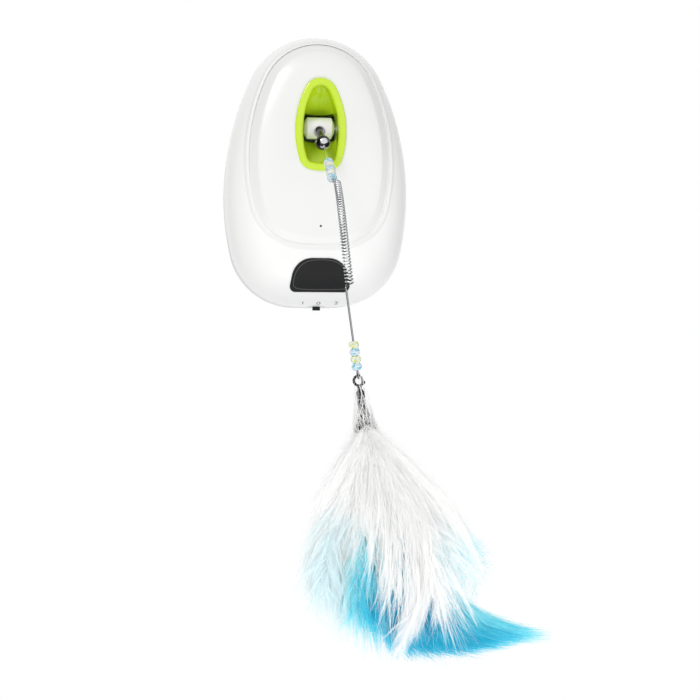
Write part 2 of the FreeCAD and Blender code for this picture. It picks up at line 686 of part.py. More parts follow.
def back_shell():
    outer = egg_column("case", "0", "parting_depth")
    round_edges(outer, lambda edge: lies_at(edge, FRONT, 0), "back_round")
    inner = egg_column("case", "wall", "parting_depth", "-wall")
    round_edges(inner, lambda edge: lies_at(edge, FRONT, value("wall")), "back_round - wall")
    shell = cut(outer, inner)
    pieces = [shell]
    for x, z in boss_spots():
        pieces.append(rod("boss_radius", "parting_depth - wall / 2", x, "-wall / 2", z, FRONT))
    for z in (UPPER_DOOR_SCREW, LOWER_DOOR_SCREW):
        pieces.append(rod("door_boss_radius", "door_screw_length + 1", "0", "-wall / 2", z, FRONT))
    holes = []
    for x, z in boss_spots():
        holes.append(rod("screw_radius + screw_gap", "parting_depth + 1", x, "1", z, FRONT))
        holes.append(rod("screw_head_radius + screw_gap", "screw_well + 1", x, "1", z, FRONT))
    for z in (UPPER_DOOR_SCREW, LOWER_DOOR_SCREW):
        holes.append(rod("door_screw_radius + running_fit", "door_screw_length + 2", "0", "1", z, FRONT))
    door_recess = slab(DOOR_WIDTH + " + 2 * door_gap", DOOR_FOOT + " - door_gap", DOOR_HEAD + " + door_gap",
                       "1", "1 + door_sink + door_thickness", "door_corner + door_gap")
    bay = block(BAY_WIDTH, "2 * wall", BAY_HEIGHT,
                "-%s / 2" % BAY_WIDTH, "-1.5 * wall", "-cell_foot - contact_room")
    key_hole = rod("key_radius", "2 * wall", "0", "wall / 2", "key_height", FRONT)
    key_slot = block("key_slot", "2 * wall", "key_rise", "-key_slot / 2", "-1.5 * wall", "key_height")
    key_end = rod("key_slot / 2", "2 * wall", "0", "wall / 2", "key_height + key_rise", FRONT)
    body = cut(fuse(*pieces), *holes, door_recess, bay, key_hole, key_slot, key_end)
    return named(body, "back_shell")


def face_panel():
    plate = common(egg_column("panel", "parting_depth", BEYOND, "-panel_gap / 2"), dome("panel_lift"))
    plate = cut(plate, dome("-panel_seat"))
    mouth = egg_column("trough", "parting_depth", BEYOND, "-rim_step + fit_gap")
    pinhole = rod("pinhole_radius", "2 * overcut",
                  "0", "overcut - parting_depth - front_bulge", "-lamp_height", FRONT)
    return named(cut(plate, mouth, pinhole), "face_panel")


def sensor_window():
    pane = cut(common(window_column("0"), dome("window_lift")), dome("-wall"))
    flange = cut(common(window_column("window_flange"), dome("-wall")), dome("-wall - window_flange"))
    return named(fuse(pane, flange), "sensor_window")


def ramp_fan():
    """Space that the swinging post needs: two hollow ramps and the wedge between them."""
    tilt = math.radians(value("ramp_angle"))
    up = Vector(0, -math.cos(tilt), math.sin(tilt))
    down = Vector(0, -math.cos(tilt), -math.sin(tilt))
    ramps = [rod("ramp_radius", "through", "0", "-barrel_depth", "barrel_height", way) for way in (up, down)]
    wedge = new_body()
    sketch = sketch_on(wedge, "YZ_Plane", "-ramp_radius")
    ahead = "-barrel_depth - through * cos(ramp_angle * 1 deg)"
    outline(sketch, [
        ("-barrel_depth", "barrel_height"),
        (ahead, "barrel_height + through * sin(ramp_angle * 1 deg)"),
        (ahead, "barrel_height - through * sin(ramp_angle * 1 deg)"),
    ])
    pad(wedge, sketch, "2 * ramp_radius")
    return fuse(*ramps, wedge)


def trough_insert():
    rim = egg_column("trough", PANEL_FACE, PANEL_FACE + " + rim_height")
    face = value(PANEL_FACE + " + rim_height")
    round_edges(rim, lambda edge: lies_at(edge, FRONT, face), "rim_round")
    neck = egg_column("trough", TROUGH_BACK, PANEL_FACE, "-rim_step")
    hollow = egg_column("trough", TROUGH_BACK, BEYOND, "-rim_width")
    well = block("2 * " + BARREL_END, "barrel_depth", "2 * barrel_radius + barrel_gap + well_slit",
                 "-" + BARREL_END, "-barrel_depth", "barrel_height - barrel_radius - barrel_gap")
    bores = rod(BUSH_RADIUS, "trough_width", "-trough_width / 2", "-barrel_depth", "barrel_height", RIGHT)
    insert = cut(fuse(rim, neck), common(hollow, ramp_fan()), well, bores)
    inside = value("trough_width") / 2 - value("rim_width") + 0.01

    def on_mouth(edge):
        return lies_at(edge, FRONT, face) and all(abs(spot.x) < inside for spot in edge.discretize(5))

    return named(softened(insert, on_mouth, "mouth_round"), "trough_insert")


def case_screws():
    screws = []
    for x, z in boss_spots():
        head = rod("screw_head_radius", "screw_head", x, "-screw_well + screw_head", z, FRONT)
        shank = rod("screw_radius", "screw_length", x, "-screw_well", z, FRONT)
        screws.append(fuse(head, shank))
    return named(group(*screws), "case_screws")


# Swing barrel and wand root

def along_post(distance):
    """Spot on the post's middle line, measured from the barrel's axis."""
    return ("0", "-barrel_depth - (%s) * cos(post_angle * 1 deg)" % distance,
            "barrel_height - (%s) * sin(post_angle * 1 deg)" % distance)


def post_way():
    drop = math.radians(value("post_angle"))
    return Vector(0, -math.cos(drop), -math.sin(drop))


def swing_barrel():
    half = "barrel_length / 2"
    seam = "barrel_length / 2 - barrel_dome"
    body = turned([
        ("axle_radius", "-barrel_length / 2"),
        ("barrel_radius - barrel_end_drop", "-barrel_length / 2", "barrel_dome_radius"),
        ("barrel_radius - barrel_lip", "barrel_dome - barrel_length / 2"),
        ("barrel_radius", "barrel_dome - barrel_length / 2"),
        ("barrel_radius", seam),
        ("barrel_radius - barrel_lip", seam, "barrel_dome_radius"),
        ("barrel_radius - barrel_end_drop", half),
        ("axle_radius", half),
    ])
    move_to(body, "0", "-barrel_depth", "barrel_height", Rotation(TOP, RIGHT))
    socket = rod("post_radius", "barrel_radius", *along_post("post_root"), post_way())
    rim = along_post("barrel_radius - barrel_dome")
    mouth = rod("post_radius + barrel_gap", "barrel_radius", *rim, post_way())
    return named(cut(body, socket, mouth), "swing_barrel")


def swing_axle():
    left = "%s + left_bush_length + axle_end" % BARREL_END
    right = LAYERS[0] + " + gear_width"
    axle = rod("axle_radius", "%s + %s" % (left, right),
               "-(%s)" % left, "-barrel_depth", "barrel_height", RIGHT)
    return named(axle, "swing_axle")


def axle_bushes():
    left = rod(BUSH_RADIUS, "left_bush_length", "-%s - left_bush_length" % BARREL_END,
               "-barrel_depth", "barrel_height", RIGHT)
    right = rod(BUSH_RADIUS, "%s + plate_thickness - %s" % (PLATE_PLACE, BARREL_END), BARREL_END,
                "-barrel_depth", "barrel_height", RIGHT)
    bushes = []
    for bush in (left, right):
        bore = rod("axle_radius + running_fit", "2 * trough_width", "-trough_width",
                   "-barrel_depth", "barrel_height", RIGHT)
        bushes.append(cut(bush, bore))
    return named(group(*bushes), "axle_bushes")


def wand_post():
    post = rod("post_radius", "ball_reach - ball_seat - post_root", *along_post("post_root"), post_way())
    return named(post, "wand_post")


def wand_ball():
    whole = ball("ball_radius", *along_post("ball_reach"))
    foot = along_post("ball_reach - ball_seat - 2 * ball_radius")
    seat = rod("post_radius", "2 * ball_radius", *foot, post_way())
    bore = rod("wire_radius", "2 * ball_radius", *along_post("ball_reach + wire_seat"), post_way())
    return named(cut(whole, seat, bore), "wand_ball")


# Wand wire: a straight root, a gentle bend through the beads, the coil on its bent axis, a straight end

class Route:
    """Middle line of the wire in the plane X = 0, from the ball to the coil."""

    def __init__(self):
        self.root_slope = math.radians(value("post_angle"))
        self.coil_slope = math.radians(value("bead_slope"))
        self.start = point(*along_post("ball_reach + wire_seat"))
        self.bend_start = point(*along_post("ball_reach + root_run"))
        self.bend_radius = value("bead_run") / (self.coil_slope - self.root_slope)
        self.bend_end = self.on_bend(1)
        self.coil_start = self.bend_end + self.way(self.coil_slope) * value("coil_lead")
        self.length = value("coil_length")
        self.lean = math.sin(math.radians(value("lean")))

    def way(self, slope):
        return Vector(0, -math.cos(slope), -math.sin(slope))

    def on_bend(self, share):
        slope = self.root_slope + (self.coil_slope - self.root_slope) * share
        gain_y = self.bend_radius * (math.sin(slope) - math.sin(self.root_slope))
        gain_z = self.bend_radius * (math.cos(self.root_slope) - math.cos(slope))
        return self.bend_start + Vector(0, -gain_y, -gain_z)

    def coil_axis(self, run):
        """Spot, way and bend-side normal of the coil's axis after a run along it."""
        radius = self.length / (math.pi / 2 - self.coil_slope)
        slope = self.coil_slope + run / radius
        drift = self.lean * run ** 3 / (3 * self.length ** 2)
        gain_y = radius * (math.sin(slope) - math.sin(self.coil_slope))
        gain_z = radius * (math.cos(self.coil_slope) - math.cos(slope))
        spot = self.coil_start + Vector(value("coil_radius") + drift, -gain_y, -gain_z)
        way = self.way(slope) + Vector(self.lean * (run / self.length) ** 2, 0, 0)
        way.normalize()
        normal = way.cross(RIGHT)
        normal.normalize()
        return spot, way, normal

    def on_coil(self, share):
        """Spot on the turns, from their first point at share 0 to their last at share 1."""
        end_run = 2 * value("wire_radius") + value("coil_bend")
        run = end_run + (self.length - 2 * end_run) * share
        phase = value("coil_phase")
        angle = math.radians(phase + (360 * value("coil_turns") - 2 * phase) * share)
        spot, way, normal = self.coil_axis(run)
        left = way.cross(normal)
        return spot + (left * math.cos(angle) + normal * math.sin(angle)) * value("coil_radius")

    def coil_way(self, share):
        """Way of the turns, from two close spots on them."""
        step = 0.00001
        way = self.on_coil(share + step) - self.on_coil(share - step)
        way.normalize()
        return way

    def hang(self):
        """Frame that hangs from the coil's end: its own -Z runs down the lower wire."""
        spot, way, normal = self.coil_axis(self.length)
        left = way.cross(normal)
        root = spot + left * value("coil_radius")
        return Placement(root, Rotation(Vector(0, 0, -1), way))


def biarc(start, start_way, end, end_way):
    """Two arcs that lead smoothly from one spot and way to another."""
    chord = end - start
    ways = start_way + end_way
    spread = 2 * (1 - start_way.dot(end_way))
    reach = chord.dot(ways)
    if spread < 1e-9:
        length = chord.Length ** 2 / (2 * reach)
    else:
        length = (math.sqrt(reach ** 2 + spread * chord.Length ** 2) - reach) / spread
    middle = (start + end + (start_way - end_way) * length) / 2
    edges = []
    for first, corner, last in ((start, start + start_way * length, middle),
                                (middle, end - end_way * length, end)):
        base = (first + last) / 2
        rise = corner - base
        half = (last - first).Length / 2
        bend = math.atan2(rise.Length, half)
        top = base + rise * (half * math.tan(bend / 2) / rise.Length)
        edges.append(Part.Arc(first, top, last).toShape())
    return edges


def tube(edges, radius, sides=0):
    """Wire of a round or many-sided section along a path of edges."""
    path = Part.Wire(edges)
    start = edges[0].valueAt(edges[0].FirstParameter)
    way = edges[0].tangentAt(edges[0].FirstParameter)
    if sides:
        across = way.cross(RIGHT)
        across.normalize()
        up = way.cross(across)
        spots = []
        for step in range(sides + 1):
            angle = 2 * math.pi * (step + 0.5) / sides
            spots.append(start + (across * math.cos(angle) + up * math.sin(angle)) * radius)
        section = Part.makePolygon(spots)
    else:
        section = Part.Wire(Part.Circle(start, way, radius).toShape())
    return path.makePipeShell([section], True, False)


def line(start, end):
    return Part.LineSegment(start, end).toShape()


def upper_wire(route):
    bend = Part.Arc(route.bend_start, route.on_bend(0.5), route.bend_end).toShape()
    edges = [line(route.start, route.bend_start), bend, line(route.bend_end, route.coil_start)]
    return named(shaped(tube(edges, value("wire_radius"))), "upper_wire")


def coil_path(route):
    """Straight entry, the turns in steps of half a turn, straight exit."""
    straight = 2 * value("wire_radius")
    steps = 2 * int(round(value("coil_turns")))
    first_way = route.way(route.coil_slope)
    last_spot = route.hang().Base
    last_way = route.coil_axis(route.length)[1]
    spots = [(route.coil_start, first_way), (route.coil_start + first_way * straight, first_way)]
    for step in range(steps + 1):
        spots.append((route.on_coil(step / steps), route.coil_way(step / steps)))
    spots.append((last_spot - last_way * straight, last_way))
    spots.append((last_spot, last_way))
    return spots


def wound_spring(route):
    spots = coil_path(route)
    edges = [line(spots[0][0], spots[1][0])]
    for (start, start_way), (end, end_way) in zip(spots[1:-2], spots[2:-1]):
        edges.extend(biarc(start, start_way, end, end_way))
    edges.append(line(spots[-2][0], spots[-1][0]))
    report_coil_gap(edges)
    return named(shaped(tube(edges, value("wire_radius"), COIL_SIDES)), "wound_spring")


def report_coil_gap(edges):
    """Print the least gap of the wound wire to itself, measured on points."""
    spots = []
    runs = []
    travelled = 0
    for edge in edges:
        count = max(4, int(edge.Length / 0.25))
        for spot in edge.discretize(count)[:-1]:
            spots.append(spot)
            runs.append(travelled)
            travelled += edge.Length / (count - 1)
    apart = 6 * value("wire_radius")
    least = min((spots[i] - spots[j]).Length
                for i in range(len(spots))
                for j in range(i + 1, min(i + 120, len(spots)))
                if runs[j] - runs[i] > apart)
    print("least gap of the wound spring to itself: %.2f mm" % (least - 2 * value("wire_radius")))
    bends = [edge.Curve.Radius for edge in edges if hasattr(edge.Curve, "Radius")]
    print("tightest bend of the wound spring: %.2f mm" % min(bends))


def bead(length):
    """Barrel-shaped bead with its hole along Z, resting on Z = 0."""
    return turned([
        ("wire_radius + bead_play", "0"),
        ("bead_radius - bead_sag", "0", "(%s ^ 2 / 4 + bead_sag ^ 2) / (2 * bead_sag)" % length),
        ("bead_radius - bead_sag", length),
        ("wire_radius + bead_play", length),
    ])


def upper_beads(route):
    for number in range(UPPER_BEADS):
        middle = (number + 0.5) / UPPER_BEADS
        slope = route.root_slope + (route.coil_slope - route.root_slope) * middle
        piece = bead("upper_bead_length")
        spot = route.on_bend(middle) - route.way(slope) * (value("upper_bead_length") / 2)
        piece.Placement = Placement(spot, Rotation(TOP, route.way(slope)))
        named(piece, "upper_bead_%d" % (number + 1))


def hung(thing, route, x="0", y="0", z="0", rotation=Rotation()):
    """Place a piece in the frame that hangs from the coil."""
    thing.Placement = route.hang() * Placement(point(x, y, z), rotation)
    return thing


def lower_beads(route):
    for number in range(LOWER_BEADS):
        piece = bead("lower_bead_length")
        hung(piece, route, z="-lower_run - %d * lower_bead_length" % (number + 1))
        named(piece, "lower_bead_%d" % (number + 1))


def bent_bar(middle, radius, bar, start_angle, sweep, across):
    """Bar bent round a spot; angles are measured from the way across, turning upwards."""
    def spot(share):
        angle = math.radians(start_angle + sweep * share)
        return middle + (across * math.cos(angle) + TOP * math.sin(angle)) * radius

    edges = []
    for part in range(BEND_PARTS):
        shares = [(part + step) / BEND_PARTS for step in (0, 0.5, 1)]
        edges.append(Part.Arc(*[spot(share) for share in shares]).toShape())
    return shaped(tube(edges, bar, WIRE_SIDES))


def lower_wire(route):
    length = "lower_run + %d * lower_bead_length + wire_radius" % LOWER_BEADS
    straight = hung(loose_rod("wire_radius", length), route, z="-(%s)" % length)
    half_gap = value("eye_gap") / 2
    eye = hung(bent_bar(point("0", "0", EYE_HEIGHT), value("eye_radius"), value("wire_radius"),
                        90 + half_gap, 360 - 2 * half_gap, BACK), route)
    return named(fuse(straight, eye), "lower_wire")


def clasp_hook(route):
    """Open hook, fork for the gate's pin and a barrel with a chamber for the swivel pin's head."""
    arc = hung(bent_bar(point("0", "0", HOOK_MIDDLE), value("hook_radius"), value("hook_bar"),
                        value("hook_tip_angle"), value("hook_sweep"), RIGHT), route)
    lugs = []
    for side in ("lug_gap", "-lug_gap - lug_width"):
        lug = loose_rod("lug_radius", "lug_width")
        lugs.append(hung(lug, route, x=GATE_X, y=side, z=GATE_Z, rotation=Rotation(TOP, BACK)))
    shank = hung(turned([
        ("0", "hook_bar / 2"),
        ("0", "-shank_length - swivel_roof"),
        ("swivel_head_radius + swivel_play", "-shank_length - swivel_roof"),
        ("swivel_head_radius + swivel_play", "swivel_roof - shank_length - swivel_length"),
        ("swivel_radius + running_fit", "swivel_roof - shank_length - swivel_length"),
        ("swivel_radius + running_fit", "-shank_length - swivel_length"),
        ("cap_top_radius", "-shank_length - swivel_length"),
        ("cap_top_radius", "-shank_length"),
        ("shank_radius", "-shank_length / 2"),
        ("hook_bar * 2", "hook_bar / 2"),
    ]), route, z=HOOK_FOOT)
    bore = hung(loose_rod("gate_pin_radius", "6 * lug_width"), route,
                x=GATE_X, y="-3 * lug_width", z=GATE_Z, rotation=Rotation(TOP, BACK))
    return named(cut(fuse(arc, shank, *lugs), bore), "clasp_hook")


def gate_pin(route):
    pin = loose_rod("gate_pin_radius", "2 * lug_gap + 2 * lug_width")
    hung(pin, route, x=GATE_X, y="-lug_gap - lug_width", z=GATE_Z, rotation=Rotation(TOP, BACK))
    return named(pin, "gate_pin")


def clasp_gate(route):
    """Bar from its knuckle on the pin to just inside the hook's tip."""
    knuckle = hung(loose_rod("gate_bar * 1.3", "2 * lug_gap - 2 * gate_play"), route,
                   x=GATE_X, y="gate_play - lug_gap", z=GATE_Z, rotation=Rotation(TOP, BACK))
    tip_angle = math.radians(value("gate_tip_angle"))
    foot = point(GATE_X, "0", GATE_Z)
    tip_way = Vector(math.cos(tip_angle), 0, math.sin(tip_angle))
    tip = point("0", "0", HOOK_MIDDLE) + tip_way * value("hook_radius")
    bar = doc.addObject("Part::Cylinder", "Rod")
    bind(bar, "Radius", "gate_bar")
    bar.Height = (tip - foot).Length
    bar.Placement = route.hang() * Placement(foot, Rotation(TOP, tip - foot))
    bore = hung(loose_rod("gate_pin_radius + running_fit", "4 * lug_gap"), route,
                x=GATE_X, y="-2 * lug_gap", z=GATE_Z, rotation=Rotation(TOP, BACK))
    return named(cut(fuse(knuckle, bar), bore), "clasp_gate")


def swivel_pin(route):
    foot = "-shank_length - swivel_length - cap_gap - cap_wall"
    floor = "swivel_roof - shank_length - swivel_length + running_fit"
    pin = turned([
        ("0", foot),
        ("swivel_radius", foot),
        ("swivel_radius", floor),
        ("swivel_head_radius", floor),
        ("swivel_head_radius", floor + " + swivel_roof"),
        ("0", floor + " + swivel_roof"),
    ])
    return named(hung(pin, route, z=HOOK_FOOT), "swivel_pin")


def feather_cap(route):
    cap = turned([
        ("swivel_radius", "0"),
        ("cap_top_radius", "0", "cap_flare"),
        ("cap_rim_radius", "-cap_length"),
        ("cap_rim_radius - cap_wall", "-cap_length", "-cap_flare"),
        ("cap_top_radius - cap_wall", "-cap_wall"),
        ("swivel_radius", "-cap_wall"),
    ])
    return named(hung(cap, route, z=CAP_TOP), "feather_cap")


def lens(centre, half_width, half_depth):
    """Closed outline of two shallow arcs, wide along X."""
    left = centre - RIGHT * half_width
    right = centre + RIGHT * half_width
    front = Part.Arc(left, centre + FRONT * half_depth, right).toShape()
    rear = Part.Arc(right, centre + BACK * half_depth, left).toShape()
    return Part.Wire([front, rear])


def plume(route, side, drift, label):
    """Soft vane that swells below the cap, on one side of the long wisp."""
    rim = value(CAP_TOP + " - cap_length")
    rings = []
    for share, fullness in PLUME_SHAPE:
        half_depth = value("plume_depth") / 2 * fullness
        centre = Vector(share * value(drift), side * (half_depth + value("plume_gap")),
                        rim - share * value("feather_length"))
        rings.append(lens(centre, value("plume_width") / 2 * fullness, half_depth))
    return named(hung(shaped(Part.makeLoft(rings, True, False)), route), label)


def long_wisp(route):
    """Narrow vane that sweeps out sideways between the two plumes."""
    rim = value(CAP_TOP + " - cap_length")
    rings = []
    for share, fullness in WISP_SHAPE:
        centre = Vector(share ** 2 * value("wisp_reach"), 0, rim - share * value("wisp_drop"))
        rings.append(lens(centre, value("wisp_width") / 2 * fullness, value("wisp_depth") / 2))
    return named(hung(shaped(Part.makeLoft(rings, True, False)), route), "long_wisp")


def feathers(route):
    plume(route, 1, "white_drift", "white_plume")
    plume(route, -1, "blue_drift", "blue_plume")
    long_wisp(route)


# Gear train beside the barrel, every axis along X

def gear_centre(step):
    """Y and Z of an axis: 0 output gear, 1 and 2 compound gears, 3 motor."""
    y = -value("barrel_depth")
    z = value("barrel_height")
    for index, (teeth, angle) in enumerate(GEAR_STEPS):
        if index >= step:
            break
        reach = value("gear_module * %s / 2 + gear_play" % teeth)
        way = math.radians(value(angle))
        y += reach * math.cos(way)
        z += reach * math.sin(way)
    return y, z


def toothed(teeth, centre, turn, layer):
    """Spur gear with involute flanks; turn is the angle of one tooth from the level, seen along X."""
    module = value("gear_module")
    pressure = math.radians(20)
    pitch_radius = module * teeth / 2
    base_radius = pitch_radius * math.cos(pressure)
    tip_radius = pitch_radius + module
    root_radius = pitch_radius - 1.25 * module
    half_tooth = math.pi / (2 * teeth) - value("gear_backlash") / (4 * pitch_radius)

    def unwound(angle):
        return math.tan(angle) - angle

    def half_angle(radius):
        at = math.acos(min(1, base_radius / radius))
        return half_tooth + unwound(pressure) - unwound(at)

    flank_start = max(base_radius, root_radius)
    flank = [root_radius] if root_radius < base_radius else []
    flank += [flank_start, (flank_start + tip_radius) / 2, tip_radius]
    spots = []
    left = value(layer)
    for tooth in range(teeth):
        middle = math.radians(turn) + 2 * math.pi * tooth / teeth
        sides = [(radius, -half_angle(max(radius, flank_start))) for radius in flank]
        sides += [(radius, -offset) for radius, offset in reversed(sides)]
        for radius, offset in sides:
            y = centre[0] + radius * math.cos(middle + offset)
            z = centre[1] + radius * math.sin(middle + offset)
            spots.append(Vector(left, y, z))
    spots.append(spots[0])
    return Part.Face(Part.makePolygon(spots)).extrude(RIGHT * value("gear_width"))


def mesh_turn(turn, teeth, next_teeth, angle):
    """Turn of the next gear so that its gap faces a tooth of the one before."""
    facing = (value(angle) - turn) * teeth / 360
    return value(angle) + 180 + (facing - math.floor(facing) - 0.5) * 360 / next_teeth


def bored(shape, centre, radius):
    start = Vector(value("gear_left"), centre[0], centre[1])
    hole = Part.makeCylinder(value(radius), value("through"), start, RIGHT)
    return shape.cut(hole)


def gears():
    output_at, second_at, third_at, motor_at = [gear_centre(step) for step in range(4)]
    output = toothed(OUTPUT_TEETH, output_at, 0, LAYERS[0])
    turn = mesh_turn(0, OUTPUT_TEETH, PINION_TEETH, "first_gear_angle")
    second = toothed(PINION_TEETH, second_at, turn, LAYERS[0])
    second = second.fuse(toothed(WHEEL_TEETH, second_at, 0, LAYERS[1]))
    hub = Part.makeCylinder(value("gear_axle_radius + hub_wall"), value("2 * gear_width + gear_gap"),
                            Vector(value(LAYERS[0]), *second_at), RIGHT)
    second = second.fuse(hub)
    turn = mesh_turn(0, WHEEL_TEETH, PINION_TEETH, "second_gear_angle")
    third = toothed(PINION_TEETH, third_at, turn, LAYERS[1])
    third = third.fuse(toothed(FIRST_WHEEL_TEETH, third_at, 0, LAYERS[2]))
    hub = Part.makeCylinder(value("gear_axle_radius + hub_wall"), value("2 * gear_width + gear_gap"),
                            Vector(value(LAYERS[1]), *third_at), RIGHT)
    third = third.fuse(hub)
    turn = mesh_turn(0, FIRST_WHEEL_TEETH, PINION_TEETH, "motor_angle")
    pinion = toothed(PINION_TEETH, motor_at, turn, LAYERS[2])
    named(shaped(bored(output, output_at, "axle_radius")), "output_gear")
    named(shaped(bored(second, second_at, "gear_axle_radius + running_fit")), "compound_gear_1")
    named(shaped(bored(third, third_at, "gear_axle_radius + running_fit")), "compound_gear_2")
    named(shaped(bored(pinion, motor_at, "motor_shaft_radius")), "motor_pinion")


def beside_barrel(back, up):
    """Spot back from and above the barrel's axis, both in modules."""
    return "(%s) * gear_module - barrel_depth" % back, "barrel_height + (%s) * gear_module" % up


def plate(start):
    """Gearbox plate with rounded corners that reaches round the four axes."""
    body = new_body()
    sketch = sketch_on(body, "YZ_Plane", start)
    outline(sketch, [
        beside_barrel("-plate_margin", "-plate_drop"),
        beside_barrel("plate_sole", "-plate_drop"),
        beside_barrel("plate_reach", "plate_heel"),
        beside_barrel("plate_reach", "plate_rise"),
        beside_barrel("plate_crown", "plate_rise"),
        beside_barrel("-plate_margin", "plate_brow"),
    ])
    pad(body, sketch, "plate_thickness")
    round_edges(body, lambda edge: runs_along(edge, RIGHT), "plate_corner")
    return body


def gearbox():
    centres = [gear_centre(step) for step in range(4)]
    inner_holes = [rod_at(BUSH_RADIUS, centres[0]), rod_at("gear_axle_radius", centres[1]),
                   rod_at("gear_axle_radius", centres[2]), rod_at("motor_boss_radius", centres[3])]
    named(cut(plate(PLATE_PLACE), *inner_holes), "gearbox_plate")
    outer_holes = [rod_at("gear_axle_radius", centres[1]), rod_at("gear_axle_radius", centres[2])]
    cover = cut(plate(OUTER_PLATE), *outer_holes)
    pillars = []
    length = "%s - (%s) - plate_thickness" % (OUTER_PLATE, PLATE_PLACE)
    for back, up in PILLARS:
        y, z = beside_barrel(back, up)
        pillars.append(rod("pillar_radius", length, PLATE_PLACE + " + plate_thickness", y, z, RIGHT))
    named(fuse(cover, *pillars), "gearbox_cover")
    for number in (1, 2):
        y, z = centres[number]
        axle = rod("gear_axle_radius", "%s + plate_thickness - (%s)" % (OUTER_PLATE, PLATE_PLACE),
                   PLATE_PLACE, str(y), str(z), RIGHT)
        named(axle, "gear_axle_%d" % number)


def rod_at(radius, centre):
    """Long cylinder along X for a bore through the plates."""
    return rod(radius, "through", "gear_left", str(centre[0]), str(centre[1]), RIGHT)


def gear_motor():
    y, z = gear_centre(3)
    start = "%s - motor_length" % PLATE_PLACE
    can = rod("motor_radius", "motor_length", start, str(y), str(z), RIGHT)
    flats = block("motor_length", "motor_flat", "2 * motor_radius", start,
                  "%s - motor_flat / 2" % y, "%s - motor_radius" % z)
    boss = rod("motor_boss_radius", "plate_thickness", PLATE_PLACE, str(y), str(z), RIGHT)
    tail = rod("motor_boss_radius", "plate_thickness", "%s - plate_thickness" % start, str(y), str(z), RIGHT)
    bore = rod("motor_shaft_radius + running_fit", "through", "%s - motor_shaft_depth" % PLATE_PLACE,
               str(y), str(z), RIGHT)
    named(cut(fuse(common(can, flats), boss, tail), bore), "gear_motor")
    length = "%s + gear_width + motor_shaft_depth - (%s)" % (LAYERS[2], PLATE_PLACE)
    shaft = rod("motor_shaft_radius", length, "%s - motor_shaft_depth" % PLATE_PLACE, str(y), str(z), RIGHT)
    named(shaft, "motor_shaft")


# Electronics

def electronics():
    board = block("board_width", "board_thickness", "board_foot - board_top",
                  "-board_width / 2", "-board_depth", "-board_foot")
    named(board, "circuit_board")
    sensor = rod("sensor_radius", "sensor_length", "0", "-board_depth", "-sensor_height", FRONT)
    named(sensor, "motion_sensor")
    lamp = rod("lamp_radius", "lamp_length", "0", "-board_depth", "-lamp_height", FRONT)
    named(lamp, "indicator_lamp")
    ahead = "parting_depth + front_bulge - board_depth - lamp_length"
    pipe = rod("lamp_radius", ahead + " - panel_seat",
               "0", "-board_depth - lamp_length", "-lamp_height", FRONT)
    nose = rod("pinhole_radius - fit_gap / 2", ahead + " + panel_lift",
               "0", "-board_depth - lamp_length", "-lamp_height", FRONT)
    named(fuse(pipe, nose), "light_pipe")
    body = block("switch_width", "switch_depth", "switch_height", "-switch_width / 2",
                 "board_thickness - board_depth", "-switch_foot")
    named(body, "switch_body")
    knob = block("knob_width", "knob_depth", "knob_reach - switch_foot - %s" % CASE_FOOT,
                 "-knob_width / 2", "-knob_place - knob_depth / 2", CASE_FOOT + " - knob_reach")
    named(knob, "switch_knob")


def battery_tray():
    width = BAY_WIDTH + " + 2 * tray_wall"
    outer = block(width, BAY_DEPTH + " + tray_wall", BAY_HEIGHT + " + 2 * tray_wall",
                  "-(%s) / 2" % width, "-wall - %s - tray_wall" % BAY_DEPTH,
                  "-cell_foot - contact_room - tray_wall")
    inner = block(BAY_WIDTH, BAY_DEPTH + " + 1", BAY_HEIGHT,
                  "-%s / 2" % BAY_WIDTH, "-wall - " + BAY_DEPTH, "-cell_foot - contact_room")
    return named(cut(outer, inner), "battery_tray")


def battery_cells():
    """Three cells side by side, the middle one the other way up, each between a plate and a spring."""
    cells = []
    plates = []
    springs = []
    middle = "-wall - (%s) / 2" % BAY_DEPTH
    top = "-cell_foot + cell_length + contact_room - contact_plate"
    foot = "-cell_foot - contact_room"
    for column in (-1, 0, 1):
        x = "%d * cell_pitch" % column
        for low in (foot, top):
            plates.append(block("contact_width", "contact_width", "contact_plate",
                                x + " - contact_width / 2", middle + " - contact_width / 2", low))
        spring = doc.addObject("Part::Cone", "Spring")
        bind(spring, "Radius1", "contact_foot")
        bind(spring, "Radius2", "contact_head")
        bind(spring, "Height", "2 * contact_room - 2 * contact_plate")
        if column == 0:
            start = foot + " + contact_plate"
            can = rod("cell_radius", "cell_length - cell_nub", x, middle, start + " + cell_nub")
            nub = rod("cell_nub_radius", "cell_length / 2", x, middle, start)
            move_to(spring, x, middle, top, Rotation(RIGHT, 180))
        else:
            start = "-cell_foot + contact_room - contact_plate"
            can = rod("cell_radius", "cell_length - cell_nub", x, middle, start)
            nub = rod("cell_nub_radius", "cell_length / 2", x, middle, start + " + cell_length / 2")
            move_to(spring, x, middle, foot + " + contact_plate")
        cells.append(fuse(can, nub))
        springs.append(spring)
    named(group(*cells), "battery_cells")
    named(group(*plates), "contact_plates")
    named(group(*springs), "contact_springs")


def battery_door():
    door = slab(DOOR_WIDTH, DOOR_FOOT, DOOR_HEAD, "-door_sink", "door_thickness", "door_corner")
    holes = []
    for z in (UPPER_DOOR_SCREW, LOWER_DOOR_SCREW):
        holes.append(rod("door_screw_radius", "2 * overcut", "0", "overcut", z, FRONT))
        holes.append(rod("door_head_radius", "door_sink + door_head + overcut", "0", "overcut", z, FRONT))
    return named(cut(door, *holes), "battery_door")


def door_screws():
    screws = []
    for z in (UPPER_DOOR_SCREW, LOWER_DOOR_SCREW):
        head = rod("door_head_radius", "door_head", "0", "-door_sink", z, FRONT)
        shank = rod("door_screw_radius", "door_screw_length", "0", "-door_sink", z, FRONT)
        screws.append(fuse(head, shank))
    return named(group(*screws), "door_screws")


